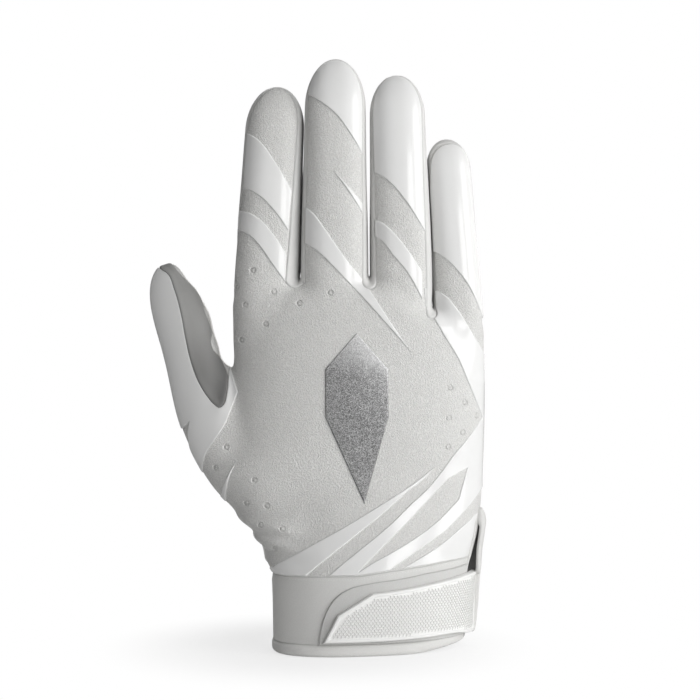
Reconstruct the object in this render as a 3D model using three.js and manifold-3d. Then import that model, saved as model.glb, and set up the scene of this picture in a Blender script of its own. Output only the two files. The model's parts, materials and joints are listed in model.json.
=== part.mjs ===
// A receiver's glove for the right hand, standing on its cuff as if worn. Millimetres, +Z up,
// fingers up, the back of the hand towards -Y and the thumb at -X.
import * as THREE from 'three';
import { mergeVertices } from 'three/addons/utils/BufferGeometryUtils.js';
import Module from 'manifold-3d';

const wasm = await Module();
wasm.setup();

// Materials and gaps
const skinThickness = 1.2;
const filmThickness = 0.5;
const seamGap = 0.3;
const weldDistance = 1e-4;
const layerGap = 0.35;
const overrun = 8;
const toCentre = [1.3, 0.5, 0];
const sideShare = 0.88;
const tipInset = 2.4;

// Hand: from the cuff's rim up to the web between the index and middle fingers
const webHeight = 141;
const littleWebDrop = 10.5;
const handDepth = 38;
const handExponent = 2.4;
const handMiddleShare = 0.154;
const littleStepShares = [0.1, 0.3];
const partingShare = 1.8;
const handCapHeight = 9;

// Fingers, from the thumb's side: each reach runs from the finger's own web to its tip
const fingerGap = 1.1;
const fingerExponent = 2.4;
const fingerCurl = 7;
const fingerRootDepth = 26;
const knuckleRise = 9;
const fingerSizes = [
  { name: 'index', width: 25.4, depth: 20.4, reach: 79.7, lean: 3.2, webShare: 0 },
  { name: 'middle', width: 26.2, depth: 21, reach: 90.2, lean: -0.4, webShare: 0 },
  { name: 'ring', width: 24, depth: 20.2, reach: 84, lean: -1.2, webShare: 0 },
  { name: 'little', width: 19, depth: 17.6, reach: 69.6, lean: -3.4, webShare: 1 },
];
const middleJointShare = 0.42;
const capWidthShare = 1.42;
const webHalfWidth = 3.2;
const webDrop = 5;

// Thumb
const thumbHalfWidth = 12.8;
const thumbHalfDepth = 11;
const thumbCapHeight = 17;
const thumbHingeShare = 0.77;
const thumbSwingTurn = 0.35;
const thumbCrotchX = -36.2;

// Cuff, strap and vent
const hemHeight = 4.8;
const hemProud = 0.35;
const liningThickness = 0.8;
const liningHeight = 52;
const padThickness = 0.8;
const strapThickness = 1.8;
const strapRimWidth = 2.2;
const strapRimProud = 0.5;
const hookThickness = 0.6;
const hookInset = 4;
const hookLength = 30;
const ventWidth = 3.4;
const ventTopWidth = 1.6;
const ventHeight = 50;
const ventY = 1.6;
const bindingWidth = 2.8;
const bindingThickness = 1.6;
const bindingShoulder = 34;
const bindingRearProud = 0.4;

// Counts
const handSteps = 26;
const fingerSteps = 16;
const thumbSteps = 14;

const knuckleSpan = fingerSizes.reduce((sum, f) => sum + f.width, 0)
  + fingerGap * (fingerSizes.length - 1);
const handMiddle = handMiddleShare * knuckleSpan;

// Each row: height as a share of webHeight; left and right edges as shares of knuckleSpan from the
// hand's middle; half depth, middle, arch and slant as shares of handDepth.
const handShares = [
  [0.000, -0.348, 0.426, 0.685, 0.02, 0.00, 0.200],
  [0.200, -0.351, 0.442, 0.645, 0.02, 0.00, 0.190],
  [0.255, -0.382, 0.459, 0.605, 0.03, 0.01, 0.170],
  [0.320, -0.446, 0.482, 0.560, 0.04, 0.02, 0.130],
  [0.404, -0.533, 0.497, 0.515, 0.06, 0.03, 0.090],
  [0.482, -0.560, 0.500, 0.500, 0.07, 0.05, 0.070],
  [0.567, -0.548, 0.504, 0.490, 0.07, 0.07, 0.050],
  [0.660, -0.526, 0.507, 0.465, 0.05, 0.09, 0.040],
  [0.766, -0.510, 0.507, 0.425, 0.03, 0.11, 0.030],
  [0.880, -0.502, 0.502, 0.360, 0.01, 0.12, 0.020],
  [0.965, -0.500, 0.500, 0.310, 0.00, 0.13, 0.020],
  [1.000, -0.500, 0.500, 0.300, 0.00, 0.13, 0.020],
];
// Each row: height as a share of a finger's reach above its web, half width and half depth as shares
// of half the finger's width and depth.
const fingerShares = [
  [-0.35, 0.84, 0.62],
  [-0.12, 0.97, 0.93],
  [0.00, 1.00, 1.00],
  [0.25, 0.98, 0.98],
  [0.50, 0.955, 0.93],
  [0.75, 0.93, 0.86],
  [1.00, 0.87, 0.77],
];
const capStepShares = [0.38, 0.66, 0.86, 0.97];
const coreShares = [-0.15, 0.1, 0.3, 0.5, 0.7];
const coreCapShares = [0, 0.35, 0.6, 0.8, 0.93, 0.99];

// Cubic interpolation through the rows of a table, by the value in their first column.
function along(rows, at, column) {
  const last = rows.length - 1;
  let i = 0;
  while (i < last - 1 && at > rows[i + 1][0]) i++;
  const slope = (k) => {
    const low = Math.max(k - 1, 0);
    const high = Math.min(k + 1, last);
    return (rows[high][column] - rows[low][column]) / (rows[high][0] - rows[low][0]);
  };
  const width = rows[i + 1][0] - rows[i][0];
  const t = Math.min(Math.max((at - rows[i][0]) / width, 0), 1);
  const a = rows[i][column];
  const b = rows[i + 1][column];
  return (2 * t ** 3 - 3 * t ** 2 + 1) * a + (t ** 3 - 2 * t ** 2 + t) * width * slope(i)
    + (3 * t ** 2 - 2 * t ** 3) * b + (t ** 3 - t ** 2) * width * slope(i + 1);
}

const smooth = (t) => {
  const s = Math.min(Math.max(t, 0), 1);
  return s * s * (3 - 2 * s);
};

// One point of a superellipse of half sizes 1, at a turn in radians.
function roundPoint(turn, exponent) {
  const c = Math.cos(turn);
  const s = Math.sin(turn);
  return [
    Math.sign(c) * Math.abs(c) ** (2 / exponent),
    Math.sign(s) * Math.abs(s) ** (2 / exponent),
  ];
}

// A closed mesh from rings of points that go up, each ring anticlockwise seen from above.
function loft(rings, apex) {
  const count = rings[0].length;
  const points = rings.flat();
  const index = [];
  for (let k = 0; k < rings.length - 1; k++) {
    for (let i = 0; i < count; i++) {
      const a = k * count + i;
      const b = k * count + ((i + 1) % count);
      index.push(a, b, b + count, a, b + count, a + count);
    }
  }
  const middle = (ring) => ring.reduce((sum, p) => sum.add(p), new THREE.Vector3())
    .divideScalar(count);
  const low = points.length;
  const high = low + 1;
  const top = (rings.length - 1) * count;
  for (let i = 0; i < count; i++) {
    const next = (i + 1) % count;
    index.push(low, next, i, high, top + i, top + next);
  }
  points.push(middle(rings[0]), apex ?? middle(rings.at(-1)));
  return new THREE.BufferGeometry().setFromPoints(points).setIndex(index);
}

function solid(geometry) {
  const bare = geometry.clone();
  bare.deleteAttribute('normal');
  bare.deleteAttribute('uv');
  const merged = mergeVertices(bare, weldDistance);
  return new wasm.Manifold(new wasm.Mesh({
    numProp: 3,
    vertProperties: merged.attributes.position.array,
    triVerts: new Uint32Array(merged.index.array),
  }));
}

// A plate whose outline is drawn in the XZ plane, from y = front to y = back.
function prism(outline, front, back) {
  const shape = new THREE.Shape(outline.map(([x, z]) => new THREE.Vector2(x, z)));
  const plate = new THREE.ExtrudeGeometry(shape, { depth: back - front, bevelEnabled: false });
  plate.rotateX(Math.PI / 2);
  plate.translate(0, back, 0);
  return solid(plate);
}

const farAway = 3 * knuckleSpan;
const block = (x0, x1, z0, z1, front = -farAway, back = farAway) =>
  prism([[x0, z0], [x1, z0], [x1, z1], [x0, z1]], front, back);

// The hand's section at a height.
function handAt(z) {
  const share = z / webHeight;
  const left = handMiddle + along(handShares, share, 1) * knuckleSpan;
  const right = handMiddle + along(handShares, share, 2) * knuckleSpan;
  return {
    x: (left + right) / 2,
    halfWidth: (right - left) / 2,
    halfDepth: along(handShares, share, 3) * handDepth,
    y: along(handShares, share, 4) * handDepth,
    arch: along(handShares, share, 5) * handDepth,
    slant: along(handShares, share, 6) * handDepth,
  };
}

// How high the hand's top edge is at a place across it: it steps down to the little finger's web.
function handTop(x) {
  const [from, to] = littleStepShares.map((share) => handMiddle + share * knuckleSpan);
  return webHeight - littleWebDrop * smooth((x - from) / (to - from));
}

const middleY = (section, u) => section.y + section.arch * u * u + section.slant * u;

function handBody(offset, base) {
  const rows = base < 0 ? [[base / webHeight, 0]] : [];
  const sectionCount = 11;
  for (let k = 0; k < sectionCount; k++) rows.push([k / (sectionCount - 1), 0]);
  for (const s of capStepShares) rows.push([1, s]);
  const rings = rows.map(([climb, cap]) => {
    const ring = [];
    for (let i = 0; i < handSteps; i++) {
      const [u, v] = roundPoint((2 * Math.PI * i) / handSteps, handExponent);
      const top = handTop(handMiddle + u * knuckleSpan / 2);
      const shoulder = top - handCapHeight;
      const z = shoulder * climb + cap * (handCapHeight + offset);
      const section = handAt(Math.max(z, 0));
      const shrink = Math.sqrt(1 - cap * cap);
      const across = section.halfWidth + offset;
      ring.push(new THREE.Vector3(
        section.x + across * u * (cap ? 0.5 + shrink / 2 : 1),
        middleY(section, u) + (section.halfDepth + offset) * v * shrink,
        z,
      ));
    }
    return ring;
  });
  return solid(loft(rings));
}

// Fingers with their places along the knuckle row
const fingers = [];
{
  let edge = handMiddle - knuckleSpan / 2;
  for (const size of fingerSizes) {
    const x = edge + size.width / 2;
    const web = webHeight - size.webShare * littleWebDrop;
    const section = handAt(webHeight);
    const u = (x - section.x) / section.halfWidth;
    fingers.push({
      ...size,
      x,
      web,
      y: middleY(section, u),
      tip: web + size.reach,
    });
    edge += size.width + fingerGap;
  }
}

function fingerAt(finger, z) {
  const share = (z - finger.web) / finger.reach;
  const cap = capWidthShare * finger.width / 2;
  const climb = Math.max((z - (finger.tip - cap)) / cap, 0);
  const shrink = Math.sqrt(Math.max(1 - climb ** 2, 0));
  return {
    x: finger.x + finger.lean * Math.max(share, 0),
    y: finger.y + fingerCurl * Math.max(share, 0) ** 2,
    halfWidth: along(fingerShares, share, 1) * finger.width / 2 * shrink,
    halfDepth: along(fingerShares, share, 2) * finger.depth / 2 * shrink,
  };
}

function fingerBody(finger, offset) {
  const cap = capWidthShare * finger.width / 2;
  const shoulder = finger.tip - cap;
  const heights = [];
  const stationCount = 6;
  const root = finger.web - fingerRootDepth;
  for (let k = 0; k < stationCount; k++) {
    heights.push(root + (shoulder - root) * k / (stationCount - 1));
  }
  for (const s of capStepShares) heights.push(shoulder + cap * s);
  const rings = heights.map((z) => {
    const section = fingerAt(finger, z);
    const rise = z > shoulder ? offset * (z - shoulder) / cap : 0;
    return Array.from({ length: fingerSteps }, (_, i) => {
      const [u, v] = roundPoint((2 * Math.PI * i) / fingerSteps, fingerExponent);
      return new THREE.Vector3(
        section.x + (section.halfWidth + offset) * u,
        section.y + (section.halfDepth + offset) * v,
        z + rise,
      );
    });
  });
  const top = fingerAt(finger, finger.tip);
  return solid(loft(rings, new THREE.Vector3(top.x, top.y, finger.tip + offset)));
}

// The thumb follows a curve from the wrist, with rings square to it. Each row: place along the
// curve, half width and half depth as shares of the thumb's own.
const thumbPlace = (across, deep, up) => new THREE.Vector3(
  handMiddle + across * knuckleSpan, deep * handDepth, up * webHeight,
);
const thumbRoot = thumbPlace(-0.245, 0.08, 0.32);
const thumbBend = thumbPlace(-0.587, 0.16, 0.61);
const thumbTip = thumbPlace(-0.784, 0.31, 1.071);
const thumbLine = new THREE.QuadraticBezierCurve3(thumbRoot, thumbBend, thumbTip);
const thumbShares = [
  [0.00, 1.10, 1.10],
  [0.10, 1.25, 1.20],
  [0.30, 1.45, 1.25],
  [0.50, 1.25, 1.15],
  [0.75, 0.97, 1.00],
  [1.00, 0.84, 0.84],
];

function thumbFrame(t) {
  const at = thumbLine.getPoint(t);
  const up = thumbLine.getTangent(t);
  const across = new THREE.Vector3(0, 1, 0).cross(up).normalize();
  const deep = up.clone().cross(across).normalize();
  return { at, up, across, deep };
}

function thumbBody(offset) {
  const length = thumbLine.getLength();
  const capShare = thumbCapHeight / length;
  const stationCount = 6;
  const stations = Array.from({ length: stationCount }, (_, k) =>
    [(k / (stationCount - 1)) * (1 - capShare), 0]);
  for (const s of capStepShares) stations.push([1 - capShare + s * capShare, s]);
  const rings = stations.map(([t, cap]) => {
    const { at, up, across, deep } = thumbFrame(t);
    const shrink = Math.sqrt(1 - cap * cap);
    const wide = along(thumbShares, t, 1) * thumbHalfWidth * shrink + offset;
    const thick = along(thumbShares, t, 2) * thumbHalfDepth * shrink + offset;
    return Array.from({ length: thumbSteps }, (_, i) => {
      const [u, v] = roundPoint((2 * Math.PI * i) / thumbSteps, fingerExponent);
      return at.clone().addScaledVector(across, wide * u).addScaledVector(deep, thick * v)
        .addScaledVector(up, offset * cap);
    });
  });
  const { at, up } = thumbFrame(1);
  return solid(loft(rings, at.addScaledVector(up, offset)));
}

const largest = (made) => made.decompose()
  .reduce((best, piece) => (piece.volume() > best.volume() ? piece : best));

const bodyCache = new Map();
function handSolid(offset, base) {
  const key = `${offset} ${base}`;
  if (!bodyCache.has(key)) {
    let made = handBody(offset, base).add(thumbBody(offset));
    for (const finger of fingers) made = made.add(fingerBody(finger, offset));
    bodyCache.set(key, largest(made));
  }
  return bodyCache.get(key);
}

// A skin between two offsets from the outer surface, open at the wrist
const handShell = (inner, outer) => handSolid(outer, 0).subtract(handSolid(inner, -overrun));

const group = new THREE.Group();
function addNode(name, made, color, roughness = 0.85, metalness = 0) {
  const { vertProperties, triVerts } = largest(made).translate(toCentre).getMesh();
  const geometry = new THREE.BufferGeometry();
  geometry.setAttribute('position', new THREE.BufferAttribute(new Float32Array(vertProperties), 3));
  geometry.setIndex(new THREE.BufferAttribute(new Uint32Array(triVerts), 1));
  const flat = geometry.toNonIndexed();
  flat.computeVertexNormals();
  const mesh = new THREE.Mesh(flat, new THREE.MeshStandardMaterial({ color, roughness, metalness }));
  mesh.name = name;
  group.add(mesh);
}

const fabric = 0xc9c8c4;
const wall = 0xb4b4b1;
const grip = 0xdcdbd7;
const gloss = 0xf2f2f0;
const silver = 0xb9babb;
const glossRough = 0.2;

// Outlines on the back of the glove, as shares of its height
const gloveHeight = webHeight + fingerSizes[1].reach;
function drawn(shares) {
  const points = shares.map(([x, z]) => new THREE.Vector2(x, z).multiplyScalar(gloveHeight));
  return (THREE.ShapeUtils.isClockWise(points) ? points.reverse() : points).map(({ x, y }) => [x, y]);
}

// An outline drawn in by a distance, its points anticlockwise
function inset(outline, distance) {
  const count = outline.length;
  return outline.map(([x, z], i) => {
    const [ax, az] = outline[(i + count - 1) % count];
    const [bx, bz] = outline[(i + 1) % count];
    const before = new THREE.Vector2(x - ax, z - az).normalize();
    const after = new THREE.Vector2(bx - x, bz - z).normalize();
    const turn = 1 + before.dot(after);
    return [
      x - distance * (before.y + after.y) / turn,
      z + distance * (before.x + after.x) / turn,
    ];
  });
}
const through = (outline, distance = 0) => prism(inset(outline, distance), -farAway, farAway);

// The side of the glove towards -Y, up to a clearance past the middle of its depth
function frontUpTo(clearance) {
  const rows = 5;
  const columns = 5;
  const rings = [];
  for (let k = 0; k < rows; k++) {
    const z = -overrun + ((gloveHeight + 2 * overrun) * k) / (rows - 1);
    const section = handAt(Math.min(Math.max(z, 0), webHeight));
    const curl = fingerCurl * Math.max((z - webHeight) / (gloveHeight - webHeight), 0) ** 2;
    const line = Array.from({ length: columns }, (_, i) => {
      const u = partingShare * ((2 * i) / (columns - 1) - 1);
      const y = middleY(section, u) + curl + clearance;
      return new THREE.Vector3(section.x + u * section.halfWidth, y, z);
    });
    const far = [line[0], line.at(-1)].map((p) => new THREE.Vector3(p.x, -farAway, z));
    rings.push([...far, ...line.reverse()]);
  }
  return solid(loft(rings));
}
const frontSide = frontUpTo(-seamGap / 2);
const frontAndSeam = frontUpTo(seamGap / 2);
const frontOf = (made) => made.intersect(frontSide);
const rearOf = (made) => made.subtract(frontAndSeam);

// The free thumb, cut off square to its line in the XZ plane
const thumbHinge = thumbFrame(thumbHingeShare);
const thumbUp = new THREE.Vector3(thumbHinge.up.x, 0, thumbHinge.up.z).normalize();
const thumbAcross = new THREE.Vector3(0, 1, 0).cross(thumbUp);
function thumbPrism(clearance) {
  const base = thumbHinge.at.clone().addScaledVector(thumbUp, clearance);
  const right = base.clone().addScaledVector(thumbAcross, (thumbCrotchX - base.x) / thumbAcross.x);
  const left = base.clone().addScaledVector(thumbAcross, -gloveHeight);
  return prism([
    [left.x, left.z], [right.x, right.z], [right.x, gloveHeight], [left.x, gloveHeight],
  ], -farAway, farAway);
}
const thumbSkin = thumbBody(0).subtract(thumbBody(-skinThickness))
  .intersect(thumbPrism(seamGap / 2));
const gussetShares = [
  [-0.32, 0.68], [-0.288, 0.642], [-0.277, 0.637], [-0.259, 0.614], [-0.244, 0.576],
  [-0.232, 0.53], [-0.217, 0.461], [-0.15, 0.461], [-0.15, 0.7],
];
const gussetOutline = drawn(gussetShares);
addNode('thumb_back', frontOf(thumbSkin).subtract(through(gussetOutline, -seamGap / 2)),
  gloss, glossRough);
addNode('thumb_gusset', frontOf(thumbSkin).intersect(through(gussetOutline, seamGap / 2)), wall);
addNode('thumb_palm', rearOf(thumbSkin), grip, 0.5);

// One segment of a finger, square to its lean, between two heights above its web
function alongFinger(finger, across, up) {
  const turn = Math.atan2(finger.lean, finger.reach);
  return [
    finger.x + across * Math.cos(turn) + up * Math.sin(turn),
    finger.web - across * Math.sin(turn) + up * Math.cos(turn),
  ];
}
function segmentPrism(finger, low, high) {
  const wide = (finger.width + fingerGap) / 2;
  return prism([
    alongFinger(finger, -wide, low), alongFinger(finger, wide, low),
    alongFinger(finger, wide, high), alongFinger(finger, -wide, high),
  ], -farAway, farAway);
}

// The outline of a finger's back between its side walls
function coreOutline(finger, clearance) {
  const cap = capWidthShare * finger.width / 2;
  const heights = coreShares.map((s) => finger.web + s * finger.reach)
    .concat(coreCapShares.map((s) => finger.tip - cap * (1 - s)));
  const side = heights.map((z) => {
    const { x, halfWidth } = fingerAt(finger, z);
    const climb = Math.max((z - finger.tip + cap) / cap, 0);
    return { x, half: sideShare * halfWidth + clearance, z: z + (clearance - tipInset) * climb };
  });
  return side.map((p) => [p.x + p.half, p.z])
    .concat(side.reverse().map((p) => [p.x - p.half, p.z]));
}

for (const finger of fingers) {
  const shell = fingerBody(finger, 0).subtract(fingerBody(finger, -skinThickness));
  const core = prism(coreOutline(finger, -seamGap / 2), -farAway, farAway);
  const sides = shell.subtract(prism(coreOutline(finger, seamGap / 2), -farAway, farAway));
  const bend = middleJointShare * finger.reach;
  finger.bend = bend;
  const half = seamGap / 2;
  const root = segmentPrism(finger, knuckleRise + half, bend - half);
  const end = segmentPrism(finger, bend + half, finger.reach + overrun);
  const part = `${finger.name}_`;
  const middle = fingerAt(finger, finger.web + bend).x;
  const left = block(-farAway, middle, 0, gloveHeight + overrun);
  addNode(`${part}root_back`, frontOf(shell.intersect(core)).intersect(root), fabric);
  addNode(`${part}root_palm`, rearOf(shell.intersect(core)).intersect(root), grip, 0.5);
  addNode(`${part}root_wall_left`, sides.intersect(root).intersect(left), wall);
  addNode(`${part}root_wall_right`, sides.intersect(root).subtract(left), wall);
  addNode(`${part}end_back`, frontOf(shell.intersect(core)).intersect(end), fabric);
  addNode(`${part}end_palm`, rearOf(shell.intersect(core)).intersect(end), grip, 0.5);
  addNode(`${part}end_wrap`, sides.intersect(end), wall);
  finger.film = fingerBody(finger, layerGap + filmThickness)
    .subtract(fingerBody(finger, layerGap))
    .intersect(core).intersect(frontSide);
  finger.root = root;
  finger.end = end;
}

// Gloss films on the fingers
const [index, middle, ring, little] = fingers;
const filmOn = (finger, segment, shares) =>
  finger.film.intersect(segment).intersect(through(drawn(shares)));
const indexUpperShares = [
  [-0.16, 0.78], [-0.131, 0.772], [-0.052, 0.705], [-0.048, 0.775], [-0.072, 0.826],
  [-0.098, 0.859], [-0.16, 0.905],
];
const indexLowerShares = [
  [-0.16, 0.708], [-0.136, 0.708], [-0.092, 0.666], [-0.04, 0.6], [-0.04, 0.64],
  [-0.092, 0.713], [-0.118, 0.736], [-0.16, 0.743],
];
const middleTipShares = [
  [-0.06, 0.96], [0.009, 0.918], [0.043, 0.88], [0.09, 0.81], [0.09, 1.05], [-0.06, 1.05],
];
const middleLowerShares = [
  [-0.04, 0.698], [-0.023, 0.682], [0.034, 0.638], [0.073, 0.596], [0.116, 0.543],
  [0.163, 0.486], [0.139, 0.526], [0.088, 0.603], [0.053, 0.65], [0.028, 0.689],
  [0.001, 0.723], [-0.04, 0.763],
];
const ringTipShares = [
  [0.08, 0.82], [0.127, 0.774], [0.154, 0.741], [0.2, 0.67], [0.2, 1.05], [0.08, 1.05],
];
const ringStripeShares = [
  [0.08, 0.697], [0.104, 0.69], [0.139, 0.637], [0.173, 0.585], [0.2, 0.55], [0.2, 0.6],
  [0.173, 0.641], [0.139, 0.691], [0.11, 0.72], [0.08, 0.735],
];
const littleTipShares = [
  [0.18, 0.68], [0.221, 0.65], [0.248, 0.614], [0.29, 0.54], [0.29, 0.95], [0.18, 0.95],
];
addNode('film_index_upper', filmOn(index, index.end, indexUpperShares), gloss, glossRough);
addNode('film_index_lower', filmOn(index, index.root, indexLowerShares), gloss, glossRough);
addNode('film_middle_tip', filmOn(middle, middle.end, middleTipShares), gloss, glossRough);
addNode('film_middle_root', filmOn(middle, middle.root, middleLowerShares), gloss, glossRough);
addNode('film_ring_tip', filmOn(ring, ring.end, ringTipShares), gloss, glossRough);
addNode('film_ring_root', filmOn(ring, ring.root, ringStripeShares), gloss, glossRough);
addNode('film_little_tip', filmOn(little, little.end, littleTipShares), gloss, glossRough);
addNode('film_little_root', filmOn(little, little.root, littleTipShares), gloss, glossRough);

// The hand's skin below the knuckle hinges and the thumb's hinge
const withoutFingers = (made, clearance) => fingers.reduce(
  (rest, finger) => rest.subtract(segmentPrism(finger, knuckleRise - clearance, finger.reach + overrun)),
  made,
).subtract(thumbPrism(-clearance));
const skin = withoutFingers(handShell(-skinThickness, 0), seamGap / 2);

// Vent slit at the little finger's side, drawn in the YZ plane and cut along X
function ventPrism(grow, base = -overrun) {
  const low = ventWidth / 2 + grow;
  const high = ventTopWidth / 2 + grow;
  const top = ventHeight + grow;
  const slot = prism([
    [ventY - low, base], [ventY + low, base], [ventY + high, top - high], [ventY + high / 2, top],
    [ventY - high / 2, top], [ventY - high, top - high],
  ], -farAway, -handMiddle);
  return slot.rotate([0, 0, 90]);
}
const vent = ventPrism(0);

// Web pieces at the three finger crotches
const webs = fingers.slice(1).map((finger, i) => {
  const neighbour = fingers[i];
  const x = finger.x - (finger.width + fingerGap) / 2;
  const low = Math.min(finger.web, neighbour.web);
  const box = (grow) => block(
    x - webHalfWidth - grow, x + webHalfWidth + grow, low - webDrop - grow, low + 2 * knuckleRise,
  );
  return { name: `web_${neighbour.name}_${finger.name}`, box };
});
for (const web of webs) addNode(web.name, skin.intersect(web.box(0)), wall);

const cuffSeamShares = [
  [-0.3, 0.135], [-0.08, 0.135], [0.015, 0.131], [0.115, 0.138], [0.166, 0.1435],
  [0.254, 0.1555], [0.4, 0.16],
];
const seamLine = (shift) => cuffSeamShares.map(([x, z]) => [x * gloveHeight, z * gloveHeight + shift]);
const below = (line, low) => prism([
  [line[0][0], low], [line.at(-1)[0], low], ...line.toReversed(),
], -farAway, farAway);

// Matt gusset in the thumb's crotch, below the hinge
const crotchShares = [
  [-0.24, 0.57], [-0.232, 0.53], [-0.217, 0.461], [-0.202, 0.43], [-0.177, 0.407],
  [-0.162, 0.409], [-0.154, 0.457], [-0.154, 0.6],
];
const crotchOutline = drawn(crotchShares);

let hand = skin.subtract(below(seamLine(seamGap / 2), -overrun)).subtract(vent);
for (const web of webs) hand = hand.subtract(web.box(seamGap));
const handFront = hand.intersect(frontSide);
addNode('thumb_web', handFront.intersect(through(crotchOutline, seamGap / 2)), wall);
addNode('back_panel', handFront.subtract(through(crotchOutline, -seamGap / 2)), fabric);
addNode('palm_panel', rearOf(hand), grip, 0.5);

// Films laid on the hand
const handFilm = withoutFingers(handShell(layerGap, layerGap + filmThickness), seamGap / 2)
  .intersect(frontSide).subtract(below(seamLine(layerGap), -overrun))
  .subtract(ventPrism(bindingWidth + seamGap));
const filmOnHand = (shares) => handFilm.intersect(through(drawn(shares)));
const sideFilmShares = [
  [0.01, 0.12], [0.114, 0.213], [0.173, 0.268], [0.251, 0.352], [0.27, 0.391], [0.266, 0.419],
  [0.253, 0.45], [0.227, 0.504], [0.193, 0.558], [0.196, 0.608], [0.234, 0.577], [0.31, 0.48],
  [0.31, 0.273], [0.276, 0.273], [0.242, 0.238], [0.18, 0.179], [0.115, 0.13],
];
const lozengeShares = [
  [0.249, 0.304], [0.218, 0.287], [0.187, 0.258], [0.147, 0.212], [0.06, 0.13], [0.068, 0.13],
  [0.14, 0.177], [0.19, 0.214], [0.234, 0.25],
];
const cornerFilmShares = [
  [0.276, 0.24], [0.31, 0.25], [0.31, 0.12], [0.13, 0.12], [0.138, 0.141], [0.172, 0.159],
  [0.214, 0.183],
];
const thumbFilmShares = [
  [-0.31, 0.58], [-0.244, 0.576], [-0.232, 0.53], [-0.217, 0.461], [-0.202, 0.43],
  [-0.177, 0.407], [-0.162, 0.409], [-0.154, 0.457], [-0.139, 0.433], [-0.159, 0.379],
  [-0.2, 0.303], [-0.31, 0.25],
];
const wristStripeShares = [
  [-0.09, 0.132], [-0.02, 0.132], [0.068, 0.191], [0.156, 0.271], [0.192, 0.311], [0.074, 0.225],
];
addNode('film_side', filmOnHand(sideFilmShares).subtract(through(drawn(lozengeShares))),
  gloss, glossRough);
addNode('film_corner', filmOnHand(cornerFilmShares), gloss, glossRough);
addNode('film_wrist', filmOnHand(wristStripeShares), gloss, glossRough);
addNode('film_knuckle', filmOnHand(middleLowerShares), gloss, glossRough);
addNode('film_thumb', filmOnHand(thumbFilmShares), gloss, glossRough);

// A plain lozenge of glitter film in the middle of the back
const badgeShares = [
  [0.075, 0.247], [0.115, 0.39], [0.115, 0.47], [0.062, 0.53], [0.01, 0.47], [0.01, 0.39],
];
addNode('badge', filmOnHand(badgeShares), silver, 0.4, 0.5);

// Cuff below the seam, its lining and its rolled hem
const cuffBase = hemHeight + seamGap;
const cuffBand = skin.intersect(below(seamLine(-seamGap / 2), cuffBase)).subtract(vent);
addNode('cuff_back', cuffBand.intersect(frontSide), fabric);
addNode('cuff_palm', rearOf(cuffBand), grip, 0.7);
const liningFace = skinThickness + layerGap;
addNode('cuff_lining', handBody(-liningFace, 0)
  .subtract(handBody(-liningFace - liningThickness, -overrun))
  .intersect(block(-farAway, farAway, cuffBase, liningHeight)).subtract(vent), fabric);
addNode('hem', handShell(-liningFace - liningThickness, hemProud)
  .intersect(block(-farAway, farAway, 0, hemHeight)).subtract(vent), fabric);

// Loop pad on the cuff, the strap over it and the hooks under the strap's end
const padShares = [
  [0.001, -0.01], [0.3, -0.01], [0.3, 0.15], [0.254, 0.142], [0.228, 0.139], [0.166, 0.128],
  [0.105, 0.119], [0.063, 0.11], [0.035, 0.093], [0.015, 0.07], [0.004, 0.042],
];
const strapShares = [
  [0.009, 0.0225], [0.085, 0.0228], [0.146, 0.026], [0.207, 0.0305], [0.262, 0.041], [0.3, 0.05],
  [0.3, 0.14], [0.252, 0.1265], [0.207, 0.1195], [0.146, 0.11], [0.085, 0.104], [0.079, 0.101],
  [0.028, 0.0655],
];
const padFace = layerGap + padThickness;
const strapFace = padFace + layerGap;
const strapRear = ventY + ventWidth / 2;
const ventFront = ventY - ventWidth / 2;
const cuffZone = block(-farAway, farAway, cuffBase, gloveHeight, -farAway, ventFront - seamGap);
addNode('loop_pad', handShell(layerGap, padFace)
  .intersect(through(drawn(padShares))).intersect(cuffZone)
  .subtract(ventPrism(bindingWidth + seamGap)), wall);

const strapOutline = drawn(strapShares);
const strapTop = strapFace + strapThickness;
const strapZone = (outline) => prism(outline, -farAway, strapRear);
const hookZone = (clearance) => through(strapOutline, hookInset - clearance)
  .intersect(block(-farAway, hookLength + clearance, 0, gloveHeight));
const strapBody = handShell(strapFace, strapTop).intersect(strapZone(strapOutline));
const strapRim = handShell(strapFace, strapTop + strapRimProud).intersect(
  strapZone(strapOutline).subtract(strapZone(inset(strapOutline, strapRimWidth))),
);
const pocket = handSolid(strapFace + hookThickness + layerGap, -overrun).intersect(hookZone(seamGap));
addNode('strap', strapBody.add(strapRim).subtract(pocket), gloss, 0.35);
addNode('strap_hooks', handShell(strapFace, strapFace + hookThickness).intersect(hookZone(0)), wall);

// Binding round the vent, open where the strap comes out and as thick as the strap behind it
const bindingZone = ventPrism(bindingWidth, cuffBase).subtract(ventPrism(-seamGap / 2, -overrun));
const strapRoom = prism(inset(strapOutline, -seamGap), -farAway, strapRear + seamGap);
const bindingFront = handShell(layerGap, layerGap + bindingThickness).subtract(strapRoom);
const bindingRear = handShell(layerGap, strapTop + strapRimProud + bindingRearProud)
  .intersect(block(-farAway, farAway, cuffBase, bindingShoulder, strapRear + seamGap, farAway));
addNode('vent_binding', bindingFront.add(bindingRear).intersect(bindingZone), grip, 0.6);

export default group;
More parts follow.
